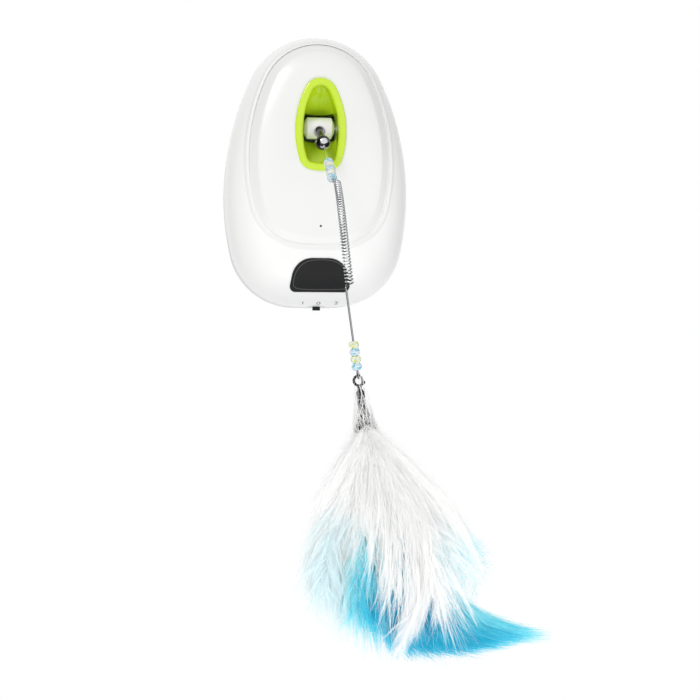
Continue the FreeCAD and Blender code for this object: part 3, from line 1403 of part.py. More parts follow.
front_shell()
back_shell()
face_panel()
sensor_window()
trough_insert()
case_screws()
swing_barrel()
swing_axle()
axle_bushes()
wand_post()
wand_ball()
route = Route()
upper_wire(route)
upper_beads(route)
wound_spring(route)
lower_wire(route)
lower_beads(route)
clasp_hook(route)
gate_pin(route)
clasp_gate(route)
swivel_pin(route)
feather_cap(route)
feathers(route)
gears()
gearbox()
gear_motor()
electronics()
battery_tray()
battery_cells()
battery_door()
door_screws()
doc.recompute()

faults = [thing.Name for thing in doc.Objects if "Invalid" in thing.State or "Error" in thing.State]
if faults:
    raise RuntimeError("objects in error: %s" % faults)
for piece in PARTS:
    if piece.Shape.isNull() or not piece.Shape.isValid() or not piece.Shape.Solids:
        raise RuntimeError("no sound solid: %s" % piece.Label)

os.makedirs("parts", exist_ok=True)
for piece in PARTS:
    piece.Shape.exportStep("parts/%s.step" % piece.Label)
print("pieces: %d" % len(PARTS))
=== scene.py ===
import json
import math
import random

import bmesh
import bpy
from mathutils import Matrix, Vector
from mathutils.bvhtree import BVHTree


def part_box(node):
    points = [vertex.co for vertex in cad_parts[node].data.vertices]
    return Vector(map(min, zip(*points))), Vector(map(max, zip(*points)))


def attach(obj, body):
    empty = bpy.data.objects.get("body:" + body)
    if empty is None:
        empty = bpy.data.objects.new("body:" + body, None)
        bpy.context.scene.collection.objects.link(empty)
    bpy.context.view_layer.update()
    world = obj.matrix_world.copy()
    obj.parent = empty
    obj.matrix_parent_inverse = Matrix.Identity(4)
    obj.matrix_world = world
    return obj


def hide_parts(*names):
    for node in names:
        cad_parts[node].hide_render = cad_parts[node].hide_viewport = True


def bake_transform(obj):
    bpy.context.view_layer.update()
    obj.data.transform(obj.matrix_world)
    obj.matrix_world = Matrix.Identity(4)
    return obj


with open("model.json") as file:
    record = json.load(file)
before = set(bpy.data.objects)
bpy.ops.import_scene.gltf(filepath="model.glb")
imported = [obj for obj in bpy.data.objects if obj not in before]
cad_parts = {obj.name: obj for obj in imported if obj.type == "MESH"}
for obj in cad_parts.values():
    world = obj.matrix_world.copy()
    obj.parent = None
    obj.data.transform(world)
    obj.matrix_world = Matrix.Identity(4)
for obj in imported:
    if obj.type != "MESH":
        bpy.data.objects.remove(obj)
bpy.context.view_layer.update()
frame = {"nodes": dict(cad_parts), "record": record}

# Automatic cat wand toy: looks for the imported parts.
# Lengths are in millimetres, and MM turns them into metres where they meet the scene.
# The camera, the lamps and the floor are placed in metres.

MM = 0.001
NODES = frame["nodes"]

# Camera, as it stood for the photograph
CAMERA_SPOT = (-0.068, -0.661, -0.100)
CAMERA_TURN = math.radians(7.8)
FOCAL_PIXELS = 1150
PHOTO_PIXELS = 700
SENSOR = 36

# Lamps: spot, aim, size and power
LAMPS = {
    "key": ((-0.5, -0.7, 0.6), (0, -0.02, 0), (0.3, 0.3), 2.7),
    "fill": ((0.85, -0.6, 0.15), (0, -0.05, -0.05), (0.6, 0.8), 0.8),
    "low": ((0.02, -0.44, -0.38), (0.03, -0.13, -0.19), (0.5, 0.2), 1.1),
}

# World: its light on the object, and its side walls as mirrors show them
AMBIENT = 0.69
SIDE_WALL = 0.15
WALL_START = 0.5
WALL_END = 0.95

# Floor: solid as far as FLOOR_SOLID from its middle, and gone by FLOOR_CLEAR inside its rim
FLOOR_HEIGHT = -0.62
FLOOR_REACH = 0.5
FLOOR_SHIFT = -0.05
FLOOR_SIDES = 64
FLOOR_SOLID = 0.1
FLOOR_CLEAR = 0.02

# Egg outlines: width, height, then the top, side, corner and bottom radii
PANEL = (75.6, 108.7, 31, 108, 26.5, 200)
PANEL_MIDDLE = 10.8
TROUGH = (27.6, 49.8, 9.3, 52, 7.5, 26)
TROUGH_MIDDLE = 20.7
ARC_STEPS = 28

# The panel's rings: an even field from under the trough's rim, a soft border, the groove, and
# the raised lip on the shell. The groove's and the lip's have a growth of the outline and a
# depth under the shell, which the groove takes from its far side, GAP_SHORE.
RIM_INSET = 1.2
FIELD_RINGS = 22
BORDER = 4.4
BORDER_FOOT = 0.3
BORDER_DROP = 1.6
BORDER_INSETS = (BORDER - 0.25, 3.6, 3.0, 2.4, 1.8, 1.2, 0.7, 0.4)
PANEL_GAP = 0.8
GAP_SHORE = PANEL_GAP + 0.35
GAP_RINGS = ((0.1, 0.27), (0.45, 0.17), (PANEL_GAP, -0.03))
LIP_RINGS = ((1.2, -0.14), (1.7, -0.24), (2.2, -0.26), (2.6, -0.18), (2.9, -0.06), (3.05, 0.1))
PULL_TRIES = 12

# A place in front of the object or under it, clear of all of it
OUTSIDE = -100

# The lamp's pinhole, painted as a dark disc of shade, and the radii between which its painted
# shade fades out
PINHOLE = (0, 0, -33.7)
PINHOLE_EDGE = (0.65, 0.5)

# Line in the sensor window, whose lighter grey is a painted highlight of the window's bevel: its
# corners as (x, z), its radius and its fineness
WINDOW_LINE = ((0.5, -51.7), (8.6, -52.9), (13.4, -57.2), (15.3, -63.2), (13.4, -66.8),
               (0.5, -67.4), (-12.4, -66.8), (-14.3, -63.2), (-12.4, -57.2), (-7.6, -52.9))
LINE_RADIUS = 0.2
LINE_STEPS = 8
LINE_SIDES = 6

# Figures at the switch, each with its shift to the right
FIGURES = {"1": -8.2, "0": 0.4, "2": 10.2}
FIGURE_SIZE = 5
FIGURE_GAP = 6.5
FIGURE_CURVE = 6
FIGURE_CUTS = 3
FIGURE_LIFT = Vector((0, -0.03, -0.06))


# Nodes of materials and of the world

class Graph:
    """Short way to write the nodes of a material or a world."""

    def __init__(self, name, kind="Material"):
        self.owner = (bpy.data.worlds if kind == "World" else bpy.data.materials).new(name)
        self.owner.use_nodes = True
        self.tree = self.owner.node_tree
        self.tree.nodes.clear()
        self.out = self.tree.nodes.new("ShaderNodeOutput" + kind)

    def node(self, kind, settings=None, **inputs):
        """Node with its settings; an input is a value, a screen colour or a node's output.

        An input is called by its name, or by i and its number.
        """
        node = self.tree.nodes.new("ShaderNode" + kind)
        for key, amount in (settings or {}).items():
            setattr(node, key, amount)
        for key, amount in inputs.items():
            name = key.replace("_", " ")
            socket = node.inputs[name] if name in node.inputs else node.inputs[int(key[1:])]
            if isinstance(amount, bpy.types.NodeSocket):
                self.tree.links.new(amount, socket)
            else:
                socket.default_value = tone(amount) if isinstance(amount, str) else amount
        return node

    def add(self, kind, settings=None, **inputs):
        """First output of a new node."""
        return self.node(kind, settings, **inputs).outputs[0]

    def spot(self, scale=1 / MM):
        """Coordinates on the object, in millimetres by default."""
        place = self.node("TexCoord").outputs["Object"]
        return self.add("VectorMath", {"operation": "SCALE"}, i0=place, Scale=scale)

    def grain(self, size, detail=3.0):
        """Noise whose lumps are about size millimetres wide."""
        return self.add("TexNoise", Vector=self.spot(), Scale=1 / size, Detail=detail)

    def times(self, vector, factors):
        return self.add("VectorMath", {"operation": "MULTIPLY"}, i0=vector, i1=factors)

    def measure(self, operation, *vectors):
        """Distance between two vectors, or the length of one."""
        sockets = {"i%d" % index: vector for index, vector in enumerate(vectors)}
        return self.node("VectorMath", {"operation": operation}, **sockets).outputs["Value"]

    def span(self, source, low, high):
        """Turn 0..1 into low..high."""
        return self.add("MapRange", Value=source, To_Min=low, To_Max=high)

    def step(self, source, start, end):
        """Turn start..end into 0..1."""
        return self.add("MapRange", Value=source, From_Min=start, From_Max=end)

    def blend(self, share, first, second):
        """Mix of two colours."""
        return self.node("Mix", {"data_type": "RGBA"}, i0=share, i6=first, i7=second).outputs[2]

    def tint(self):
        """Tint that the mesh carries: colour along the feather strands, painted shade along the
        spring's wire.
        """
        return self.node("Attribute", {"attribute_name": "tint"}).outputs["Fac"]

    def bump(self, height, depth, strength=1.0, **under):
        """Relief of a depth in millimetres, over another one as Normal."""
        return self.add("Bump", Height=height, Distance=depth * MM, Strength=strength, **under)

    def peel(self, size, depth):
        """Moulded skin: fine orange peel over a slow wave."""
        wave = self.bump(self.grain(9, 2), 0.05, 0.25)
        return self.bump(self.grain(size), depth, 0.6, Normal=wave)

    def drift(self, colour, shade):
        """Slow change between two close colours."""
        return self.blend(self.grain(28, 2), colour, shade)

    def body(self, **inputs):
        return self.add("BsdfPrincipled", **inputs)

    def finish(self, shader):
        self.tree.links.new(shader, self.out.inputs["Surface"])
        return self.owner


def tone(text):
    """Linear colour from a six-digit screen colour."""
    parts = [int(text[place:place + 2], 16) / 255 for place in (0, 2, 4)]
    linear = [part / 12.92 if part <= 0.04045 else ((part + 0.055) / 1.055) ** 2.4
              for part in parts]
    return (*linear, 1.0)


# Camera and light

def new_object(name, data):
    holder = bpy.data.objects.new(name, data)
    bpy.context.scene.collection.objects.link(holder)
    return holder


def set_camera():
    camera = new_object("camera", bpy.data.cameras.new("camera"))
    camera.location = CAMERA_SPOT
    camera.rotation_euler = (math.pi / 2, 0, -CAMERA_TURN)
    camera.data.sensor_width = SENSOR
    camera.data.lens = SENSOR * FOCAL_PIXELS / PHOTO_PIXELS
    bpy.context.scene.camera = camera


def set_world():
    """White to the eye and through glass, darker side walls in mirrors, softer on the rest."""
    graph = Graph("studio", "World")
    rays = graph.node("LightPath").outputs
    way = graph.node("SeparateXYZ", i0=graph.node("TexCoord").outputs["Generated"]).outputs
    aside = graph.add("Math", {"operation": "ABSOLUTE"}, i0=way["X"])
    walls = graph.add("MapRange", {"interpolation_type": "SMOOTHSTEP"}, Value=aside,
                      From_Min=WALL_START, From_Max=WALL_END, To_Min=1.0, To_Max=SIDE_WALL)
    seen = graph.add("Math", {"operation": "MAXIMUM"},
                     i0=rays["Is Camera Ray"], i1=rays["Is Transmission Ray"])
    light = graph.add("Background", Color="ffffff", Strength=AMBIENT)
    for share, strength in ((rays["Is Glossy Ray"], walls), (seen, 1.0)):
        other = graph.add("Background", Color="ffffff", Strength=strength)
        light = graph.add("MixShader", i0=share, i1=light, i2=other)
    bpy.context.scene.world = graph.finish(light)


def set_lights():
    """Softboxes that face their aims; mirrors don't show the low one."""
    for name, (spot, aim, size, power) in LAMPS.items():
        light = bpy.data.lights.new(name, "AREA")
        light.shape = "RECTANGLE"
        light.size, light.size_y = size
        light.energy = power
        holder = new_object(name, light)
        holder.location = spot
        way = Vector(aim) - Vector(spot)
        holder.rotation_euler = way.to_track_quat("-Z", "Y").to_euler()
        holder.visible_glossy = name != "low"


def make_floor(material):
    """Plain pale floor, well below the lure."""
    spots = []
    for side in range(FLOOR_SIDES):
        angle = 2 * math.pi * side / FLOOR_SIDES
        spots.append((math.cos(angle) * FLOOR_REACH,
                      math.sin(angle) * FLOOR_REACH + FLOOR_SHIFT, FLOOR_HEIGHT))
    faces = [tuple(range(FLOOR_SIDES))]
    floor = new_piece("floor", spots, faces, material, None, smooth=False)


# Materials

def moulded(name, colour, shade, gloss, grain=0.6, relief=0.004, coat=0.0, sss=0.0, shine=0.5):
    """Injection moulded plastic: slight tint drift, faint orange peel and uneven gloss."""
    graph = Graph(name)
    return graph.finish(graph.body(
        Base_Color=graph.drift(colour, shade), Normal=graph.peel(grain, relief),
        Roughness=graph.span(graph.grain(5, 4), gloss * 0.85, gloss * 1.2),
        Coat_Weight=coat, Coat_Roughness=0.06, Specular_IOR_Level=shine,
        Subsurface_Weight=sss, Subsurface_Radius=(0.9, 0.9, 0.8), Subsurface_Scale=MM))


def painted_pinhole(name, colour, shade, painted_hole_shade):
    """Moulded panel with the lamp's pinhole painted on as a dark disc of shade."""
    graph = Graph(name)
    flat = graph.times(graph.spot(), (1, 0, 1))
    # Painted shade: a dark disc where the pinhole is
    hole = graph.step(graph.measure("DISTANCE", flat, PINHOLE), *PINHOLE_EDGE)
    return graph.finish(graph.body(
        Base_Color=graph.blend(hole, graph.drift(colour, shade), painted_hole_shade),
        Roughness=graph.span(graph.grain(5, 4), 0.26, 0.34), Normal=graph.peel(0.6, 0.004),
        Coat_Weight=0.3, Coat_Roughness=0.3))


def metal(name, colour, wear, gloss, streak=0.0):
    """Metal with fine scratches, and with streaks of a width along Z where streak is set."""
    graph = Graph(name)
    squeezed = graph.times(graph.spot(), (1, 1, 0.06 if streak else 1))
    scratch = graph.add("TexNoise", Vector=squeezed, Scale=1 / (streak or 0.35), Detail=4.0)
    return graph.finish(graph.body(
        Base_Color=graph.blend(graph.grain(2.2, 4), colour, wear), Metallic=1.0,
        Roughness=graph.span(scratch, gloss * 0.6, gloss * 1.6),
        Normal=graph.bump(scratch, 0.003, 0.4)))


def coiled(name, colour, shade):
    """Spring wire with painted shade: darker on the side of each turn that faces the others."""
    graph = Graph(name)
    scratch = graph.grain(0.35, 4)
    return graph.finish(graph.body(
        Base_Color=graph.blend(graph.step(graph.tint(), 0.1, 0.75), colour, shade),
        Metallic=1.0, Roughness=graph.span(scratch, 0.12, 0.3),
        Normal=graph.bump(scratch, 0.003, 0.4)))


def polished(name, colour, shade, gloss):
    """Bright plating: nearly even colour, faint ripple."""
    graph = Graph(name)
    ripple = graph.grain(1.4, 2)
    return graph.finish(graph.body(
        Base_Color=graph.blend(ripple, colour, shade), Metallic=1.0,
        Roughness=graph.span(graph.grain(0.5), gloss * 0.7, gloss * 1.5),
        Normal=graph.bump(ripple, 0.01, 0.3)))


def mirrored(name, dark, bright):
    """Black plating with painted reflections: bright patches of studio light painted into its
    colour.
    """
    graph = Graph(name)
    # Painted reflection: bright patches of noise over the dark colour
    painted_reflection = graph.step(graph.grain(3.4, 0), 0.56, 0.62)
    return graph.finish(graph.body(
        Base_Color=graph.blend(painted_reflection, dark, bright), Metallic=1.0,
        Roughness=graph.span(graph.grain(0.5), 0.05, 0.12),
        Coat_Weight=0.5, Coat_Roughness=0.03,
        Normal=graph.bump(graph.grain(1.4, 2), 0.01, 0.3)))


def glass_bead(name, colour, streak, clear=0.4):
    """Pressed glass: clear body with coloured streaks in it."""
    graph = Graph(name)
    cloud = graph.step(graph.grain(1.3, 2), 0.38, 0.54)
    return graph.finish(graph.body(
        Base_Color=graph.blend(cloud, colour, streak), Roughness=0.05,
        Transmission_Weight=clear, IOR=1.45, Coat_Weight=0.6, Coat_Roughness=0.03,
        Normal=graph.bump(graph.grain(0.8, 2), 0.01, 0.25)))


def circuit(name, board, track):
    """Lacquered board with its tracks."""
    graph = Graph(name)
    lines = graph.add("TexVoronoi", {"distance": "MANHATTAN"}, Vector=graph.spot(), Scale=0.5)
    return graph.finish(graph.body(Base_Color=graph.blend(lines, board, track), Roughness=0.35,
                                   Normal=graph.bump(lines, 0.02)))


def fading(name, colour):
    """Pale floor that thins out towards its rim."""
    graph = Graph(name)
    thin = graph.step(graph.measure("LENGTH", graph.spot(1)),
                      math.hypot(FLOOR_HEIGHT, FLOOR_SOLID),
                      math.hypot(FLOOR_HEIGHT, FLOOR_REACH) - FLOOR_CLEAR)
    cloth = graph.grain(3)
    body = graph.body(Base_Color=colour, Roughness=graph.span(cloth, 0.7, 0.9),
                      Normal=graph.bump(cloth, 0.05, 0.3))
    return graph.finish(graph.add("MixShader", i0=thin, i1=body, i2=graph.add("BsdfTransparent")))


def down(name, *tones):
    """Feather strands: their tint runs through the tones, from the heart to the edge."""
    graph = Graph(name)
    ramp = graph.node("ValToRGB", i0=graph.tint())
    stops = ramp.color_ramp.elements
    while len(stops) < len(tones):
        stops.new(0.5)
    for stop, (place, colour) in zip(stops, tones):
        stop.position = place
        stop.color = tone(colour)
    pale = graph.span(graph.grain(0.8, 2), 0, 0.1)
    paint = graph.blend(pale, ramp.outputs[0], tones[-1][1])
    front = graph.body(Base_Color=paint, Roughness=0.8, Specular_IOR_Level=0.2,
                       Sheen_Weight=0.1, Sheen_Roughness=0.5)
    back = graph.add("BsdfTranslucent", Color=paint)
    return graph.finish(graph.add("MixShader", i0=0.5, i1=front, i2=back))


# Materials by their maker, with their colours and their other settings
RECIPES = {
    moulded: {
        "white_shell": (("f4f4f3", "f1f1f0"), dict(gloss=0.3, coat=0.25, sss=0.05)),
        "grey_shell": (("e2e4e6", "dcdee0"), dict(gloss=0.42, grain=0.35, relief=0.02)),
        "dark_window": (("1d1d1e", "232324"),
                        dict(gloss=0.4, grain=0.3, relief=0.006, shine=0.2)),
        "lime_insert": (("cbe928", "c4e220"), dict(gloss=0.16, coat=0.8, sss=0.1)),
        "white_barrel": (("fbf7fd", "f6f2f8"), dict(gloss=0.3, coat=0.3)),
        "bush_plastic": (("d8d8d2", "cecec8"), dict(gloss=0.5)),
        "gear_plastic": (("e8e4d4", "ddd8c6"), dict(gloss=0.4)),
        "gearbox_plastic": (("c9ccce", "bfc2c4"), dict(gloss=0.45)),
        "tray_plastic": (("dcdedf", "d0d2d4"), dict(gloss=0.5, grain=0.4, relief=0.015)),
        "black_plastic": (("151517", "1c1c1e"),
                          dict(gloss=0.4, grain=0.3, relief=0.01, shine=0.25)),
        "lamp_red": (("c8453a", "a33328"), dict(gloss=0.15, coat=0.5)),
        "sensor_lens": (("dfe3e4", "cfd5d6"), dict(gloss=0.3, sss=0.3)),
        "cell_wrap": (("50585e", "464e54"), dict(gloss=0.3, coat=0.3)),
        "blue_quill": (("2a9fca", "45b4d8"), dict(gloss=0.45, grain=0.2, relief=0.01)),
        "quill": (("e8e4d8", "d8d2c2"), dict(gloss=0.45, grain=0.2, relief=0.01, sss=0.2)),
        # Lighter grey of the window's line: painted highlight
        "window_edge": (("5a5a58", "4c4c4b"), dict(gloss=0.4, shine=0.3)),
        "print_grey": (("7c7f82", "707376"), dict(gloss=0.5)),
    },
    metal: {
        "steel": (("b9bcbf", "8d9196"), dict(gloss=0.3, streak=0.12)),
        "motor_steel": (("a9adb0", "8d9196"), dict(gloss=0.35)),
        "spring_steel": (("a2a4a7", "8d9196"), dict(gloss=0.2)),
    },
    polished: {
        "chrome": (("b9bcc0", "a2a5a9"), dict(gloss=0.07)),
        "bright_wire": (("eceef0", "d4d7da"), dict(gloss=0.12)),
        "dark_chrome": (("353537", "1c1c1e"), dict(gloss=0.08)),
    },
    glass_bead: {
        "cyan_bead": (("86d8ee", "f8fdff"), {}),
        "yellow_bead": (("f4f3c4", "ffffff"), {}),
        "lime_bead": (("dbe87c", "fdfef2"), {}),
        "blue_bead": (("70cbee", "f4fcff"), {}),
        "clear_pipe": (("eef3f4", "dde6e8"), dict(clear=0.85)),
    },
    down: {
        "white_down": (((0, "fbfbfa"), (1, "ffffff")), {}),
        "blue_down": (((0, "00a2cc"), (0.3, "00d6ee"), (0.65, "92ecf5"), (1, "eef9fb")), {}),
    },
    # The panel's third colour is the painted shade of the pinhole
    painted_pinhole: {"white_panel": (("ececeb", "e9e9e8", "202122"), {})},
    # The spring's second colour is painted shade, laid on through its tint
    coiled: {"coil_steel": (("e2e4e6", "1b1c1d"), {})},
    # The ball's bright colour is painted reflection
    mirrored: {"black_mirror": (("1d1d1f", "d8d8da"), {})},
    circuit: {"board_green": (("1f5a38", "3f8a5a"), {})},
    fading: {"floor_grey": (("f4f4f4",), {})},
}

# Materials that aren't called like their slot, for single nodes and for whole slots
NODE_LOOKS = {"wand_post": "dark_chrome", "wand_ball": "black_mirror", "upper_wire": "bright_wire",
              "clasp_hook": "dark_chrome", "clasp_gate": "dark_chrome",
              "feather_cap": "dark_chrome"}
SLOT_LOOKS = {"white_feather": "white_down", "blue_feather": "blue_down"}


def dress_nodes(materials):
    """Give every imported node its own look, or the material of its slot."""
    slots = {entry["node"]: entry["material_slot"] for entry in frame["record"]["subparts"]}
    for node, holder in NODES.items():
        name = NODE_LOOKS.get(node, SLOT_LOOKS.get(slots[node], slots[node]))
        for slot in holder.material_slots:
            slot.material = materials[name]


# Meshes

def new_piece(name, spots, faces, material, body, smooth=True):
    """Object made of spots in metres, riding on a body where one is given."""
    mesh = bpy.data.meshes.new(name)
    mesh.from_pydata([tuple(spot) for spot in spots], [], faces)
    mesh.update()
    piece = new_object(name, mesh)
    mesh.materials.append(material)
    if smooth:
        mesh.shade_smooth()
    if body:
        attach(piece, body)
    return piece


def set_tint(piece, tints):
    """Store a tint for each spot of a piece."""
    layer = piece.data.attributes.new("tint", "FLOAT", "POINT")
    layer.data.foreach_set("value", tints)


def ring_faces(rings, count, flip=False):
    """Quads between closed rings of count spots each."""
    faces = []
    for ring in range(rings - 1):
        for place in range(count):
            after = (place + 1) % count
            here, there = ring * count, (ring + 1) * count
            quad = (here + place, here + after, there + after, there + place)
            faces.append(quad[:1] + quad[:0:-1] if flip else quad)
    return faces


def tube_mesh(path, radius, sides):
    """Round tube along a list of spots, with its ends closed."""
    spots = []
    last = len(path) - 1
    across = None
    for index, spot in enumerate(path):
        way = (path[min(index + 1, last)] - path[max(index - 1, 0)]).normalized()
        if across is None:
            across = way.orthogonal().normalized()
        across = (across - way * across.dot(way)).normalized()
        up = way.cross(across)
        for side in range(sides):
            angle = 2 * math.pi * side / sides
            spots.append(spot + (across * math.cos(angle) + up * math.sin(angle)) * radius)
    faces = ring_faces(len(path), sides)
    faces.append(tuple(reversed(range(sides))))
    faces.append(tuple(last * sides + side for side in range(sides)))
    return spots, faces


def surface_tree(node):
    """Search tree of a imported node's surface."""
    mesh = NODES[node].data
    return BVHTree.FromPolygons([tuple(spot.co) for spot in mesh.vertices],
                                [tuple(face.vertices) for face in mesh.polygons])


def seen_spot(tree, x, z):
    """First spot of a surface straight behind a place, or None."""
    return tree.ray_cast(Vector((x, OUTSIDE, z)) * MM, Vector((0, 1, 0)))[0]


# Face panel with its soft border

def arc_centres(width, height, top, side, corner, bottom):
    """Centres of the four arcs of half an egg outline, from its top down."""
    top_z = height / 2 - top
    bottom_z = bottom - height / 2
    side_x = width / 2 - side
    side_z = top_z - math.sqrt((side - top) ** 2 - side_x ** 2)
    reach = side - corner
    gap = math.hypot(side_x, bottom_z - side_z)
    along = (reach ** 2 - (bottom - corner) ** 2 + gap ** 2) / (2 * gap)
    off = math.sqrt(reach ** 2 - along ** 2)
    over = (-side_x / gap, (bottom_z - side_z) / gap)
    crossings = [(side_x + along * over[0] - sign * off * over[1],
                  side_z + along * over[1] + sign * off * over[0]) for sign in (1, -1)]
    return (0, top_z), (side_x, side_z), max(crossings), (0, bottom_z)


def egg(size, middle, grow):
    """Egg outline as (x, z) places, moved outwards; size is width, height and four radii."""
    width, height, *radii = size
    top, side, corner, bottom = [radius + grow for radius in radii]
    hubs = arc_centres(width + 2 * grow, height + 2 * grow, top, side, corner, bottom)
    crown, flank, heel, foot = [(x, z + middle) for x, z in hubs]

    def heading(hub, other):
        return math.atan2(other[1] - hub[1], other[0] - hub[0])

    low, mid, high = heading(foot, heel), heading(flank, heel), heading(flank, crown)
    arcs = ((foot, bottom, -math.pi / 2, low), (heel, corner, low, mid),
            (flank, side, mid, high), (crown, top, high, math.pi / 2))
    half = []
    for (x, z), radius, start, end in arcs:
        for step in range(ARC_STEPS):
            angle = start + (end - start) * step / ARC_STEPS
            half.append((x + radius * math.cos(angle), z + radius * math.sin(angle)))
    tip = (0, crown[1] + top)
    return half + [tip] + [(-x, z) for x, z in reversed(half[1:])]


def make_panel(material):
    """Panel from the trough's rim to the shell, sloping down softly all round."""
    trees = {node: surface_tree(node) for node in ("face_panel", "front_shell")}

    def surface(node, x, z, pull):
        """Front of a node behind a place, or of its nearest part towards or from the middle."""
        for step in range(PULL_TRIES):
            size = pull ** step
            hit = seen_spot(trees[node], x * size, PANEL_MIDDLE + (z - PANEL_MIDDLE) * size)
            if hit is not None:
                return hit.y / MM
        raise ValueError("no surface of " + node)

    def ring(node, pull, places, sunk, shores=None):
        """Spots as deep as the node at its places, or at shores, and sunk a little more."""
        return [(x, surface(node, *shore, pull) + sunk, z)
                for (x, z), shore in zip(places, shores or places)]

    hole = egg(TROUGH, TROUGH_MIDDLE, -RIM_INSET)
    edge = egg(PANEL, PANEL_MIDDLE, -BORDER)
    rings = []
    for step in range(FIELD_RINGS):
        share = step / (FIELD_RINGS - 1)
        places = [((1 - share) * a[0] + share * b[0], (1 - share) * a[1] + share * b[1])
                  for a, b in zip(hole, edge)]
        rings.append(ring("face_panel", 0.995, places, 0.0))
    for inset in BORDER_INSETS:
        sunk = BORDER_DROP * min(1, (BORDER - inset) / (BORDER - BORDER_FOOT))
        rings.append(ring("face_panel", 0.995, egg(PANEL, PANEL_MIDDLE, -inset), sunk))
    shores = egg(PANEL, PANEL_MIDDLE, GAP_SHORE)
    for grow, sunk in GAP_RINGS:
        rings.append(ring("front_shell", 1.003, egg(PANEL, PANEL_MIDDLE, grow), sunk, shores))
    for grow, sunk in LIP_RINGS:
        rings.append(ring("front_shell", 0.997, egg(PANEL, PANEL_MIDDLE, grow), sunk))
    spots = [Vector(spot) * MM for row in rings for spot in row]
    faces = ring_faces(len(rings), len(hole), flip=True)
    skin = new_piece("panel_skin", spots, faces, material, "housing")
    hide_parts("face_panel")


# Sensor window and switch figures

def smooth_loop(corners, steps):
    """Closed smooth curve through flat corners."""
    count = len(corners)
    loop = []
    for index in range(count):
        before, here, after, later = (Vector(corners[(index + step) % count])
                                      for step in (-1, 0, 1, 2))
        for step in range(steps):
            share = step / steps
            square = (before * 2 - here * 5 + after * 4 - later) * share ** 2
            cube = (here * 3 - before - after * 3 + later) * share ** 3
            loop.append((here * 2 + (after - before) * share + square + cube) / 2)
    return loop


def make_window_line(material):
    """Fine moulded line a little inside the edge of the dark window; its lighter grey is a painted
    highlight of the window's bevel.
    """
    tree = surface_tree("sensor_window")
    path = []
    for x, z in smooth_loop(WINDOW_LINE, LINE_STEPS):
        hit = seen_spot(tree, x, z)
        if hit is None:
            raise ValueError("the line leaves the window at %.1f, %.1f" % (x, z))
        path.append(hit)
    path.append(path[0])
    spots, faces = tube_mesh(path, LINE_RADIUS * MM, LINE_SIDES)
    line = new_piece("window_line", spots, faces, material, "housing")


def figure_mesh(figure):
    """Flat mesh of a figure, in small enough faces to follow the shell."""
    text = bpy.data.curves.new("figure", "FONT")
    text.body = figure
    text.size = FIGURE_SIZE * MM
    text.align_x = text.align_y = "CENTER"
    text.resolution_u = FIGURE_CURVE
    holder = new_object("figure", text)
    bpy.context.view_layer.update()
    flat = bpy.data.meshes.new_from_object(holder)
    bpy.data.objects.remove(holder)
    fine = bmesh.new()
    fine.from_mesh(flat)
    bmesh.ops.triangulate(fine, faces=fine.faces[:])
    bmesh.ops.subdivide_edges(fine, edges=fine.edges[:], cuts=FIGURE_CUTS, use_grid_fill=True)
    fine.to_mesh(flat)
    fine.free()
    return flat


def make_marks(material):
    """Plain figures on the underside in front of the slide switch."""
    low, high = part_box("switch_knob")
    tree = surface_tree("front_shell")
    middle = (low[0] + high[0]) / 2
    for figure, shift in FIGURES.items():
        flat = figure_mesh(figure)
        spots = []
        for corner in flat.vertices:
            start = Vector((middle + shift * MM + corner.co.x,
                            low[1] - FIGURE_GAP * MM - corner.co.y, OUTSIDE * MM))
            hit = tree.ray_cast(start, Vector((0, 0, 1)))[0]
            spots.append(hit + FIGURE_LIFT * MM)
        faces = [tuple(face.vertices) for face in flat.polygons]
        name = "switch_figure_" + figure
        mark = new_piece(name, spots, faces, material, "housing", smooth=False)


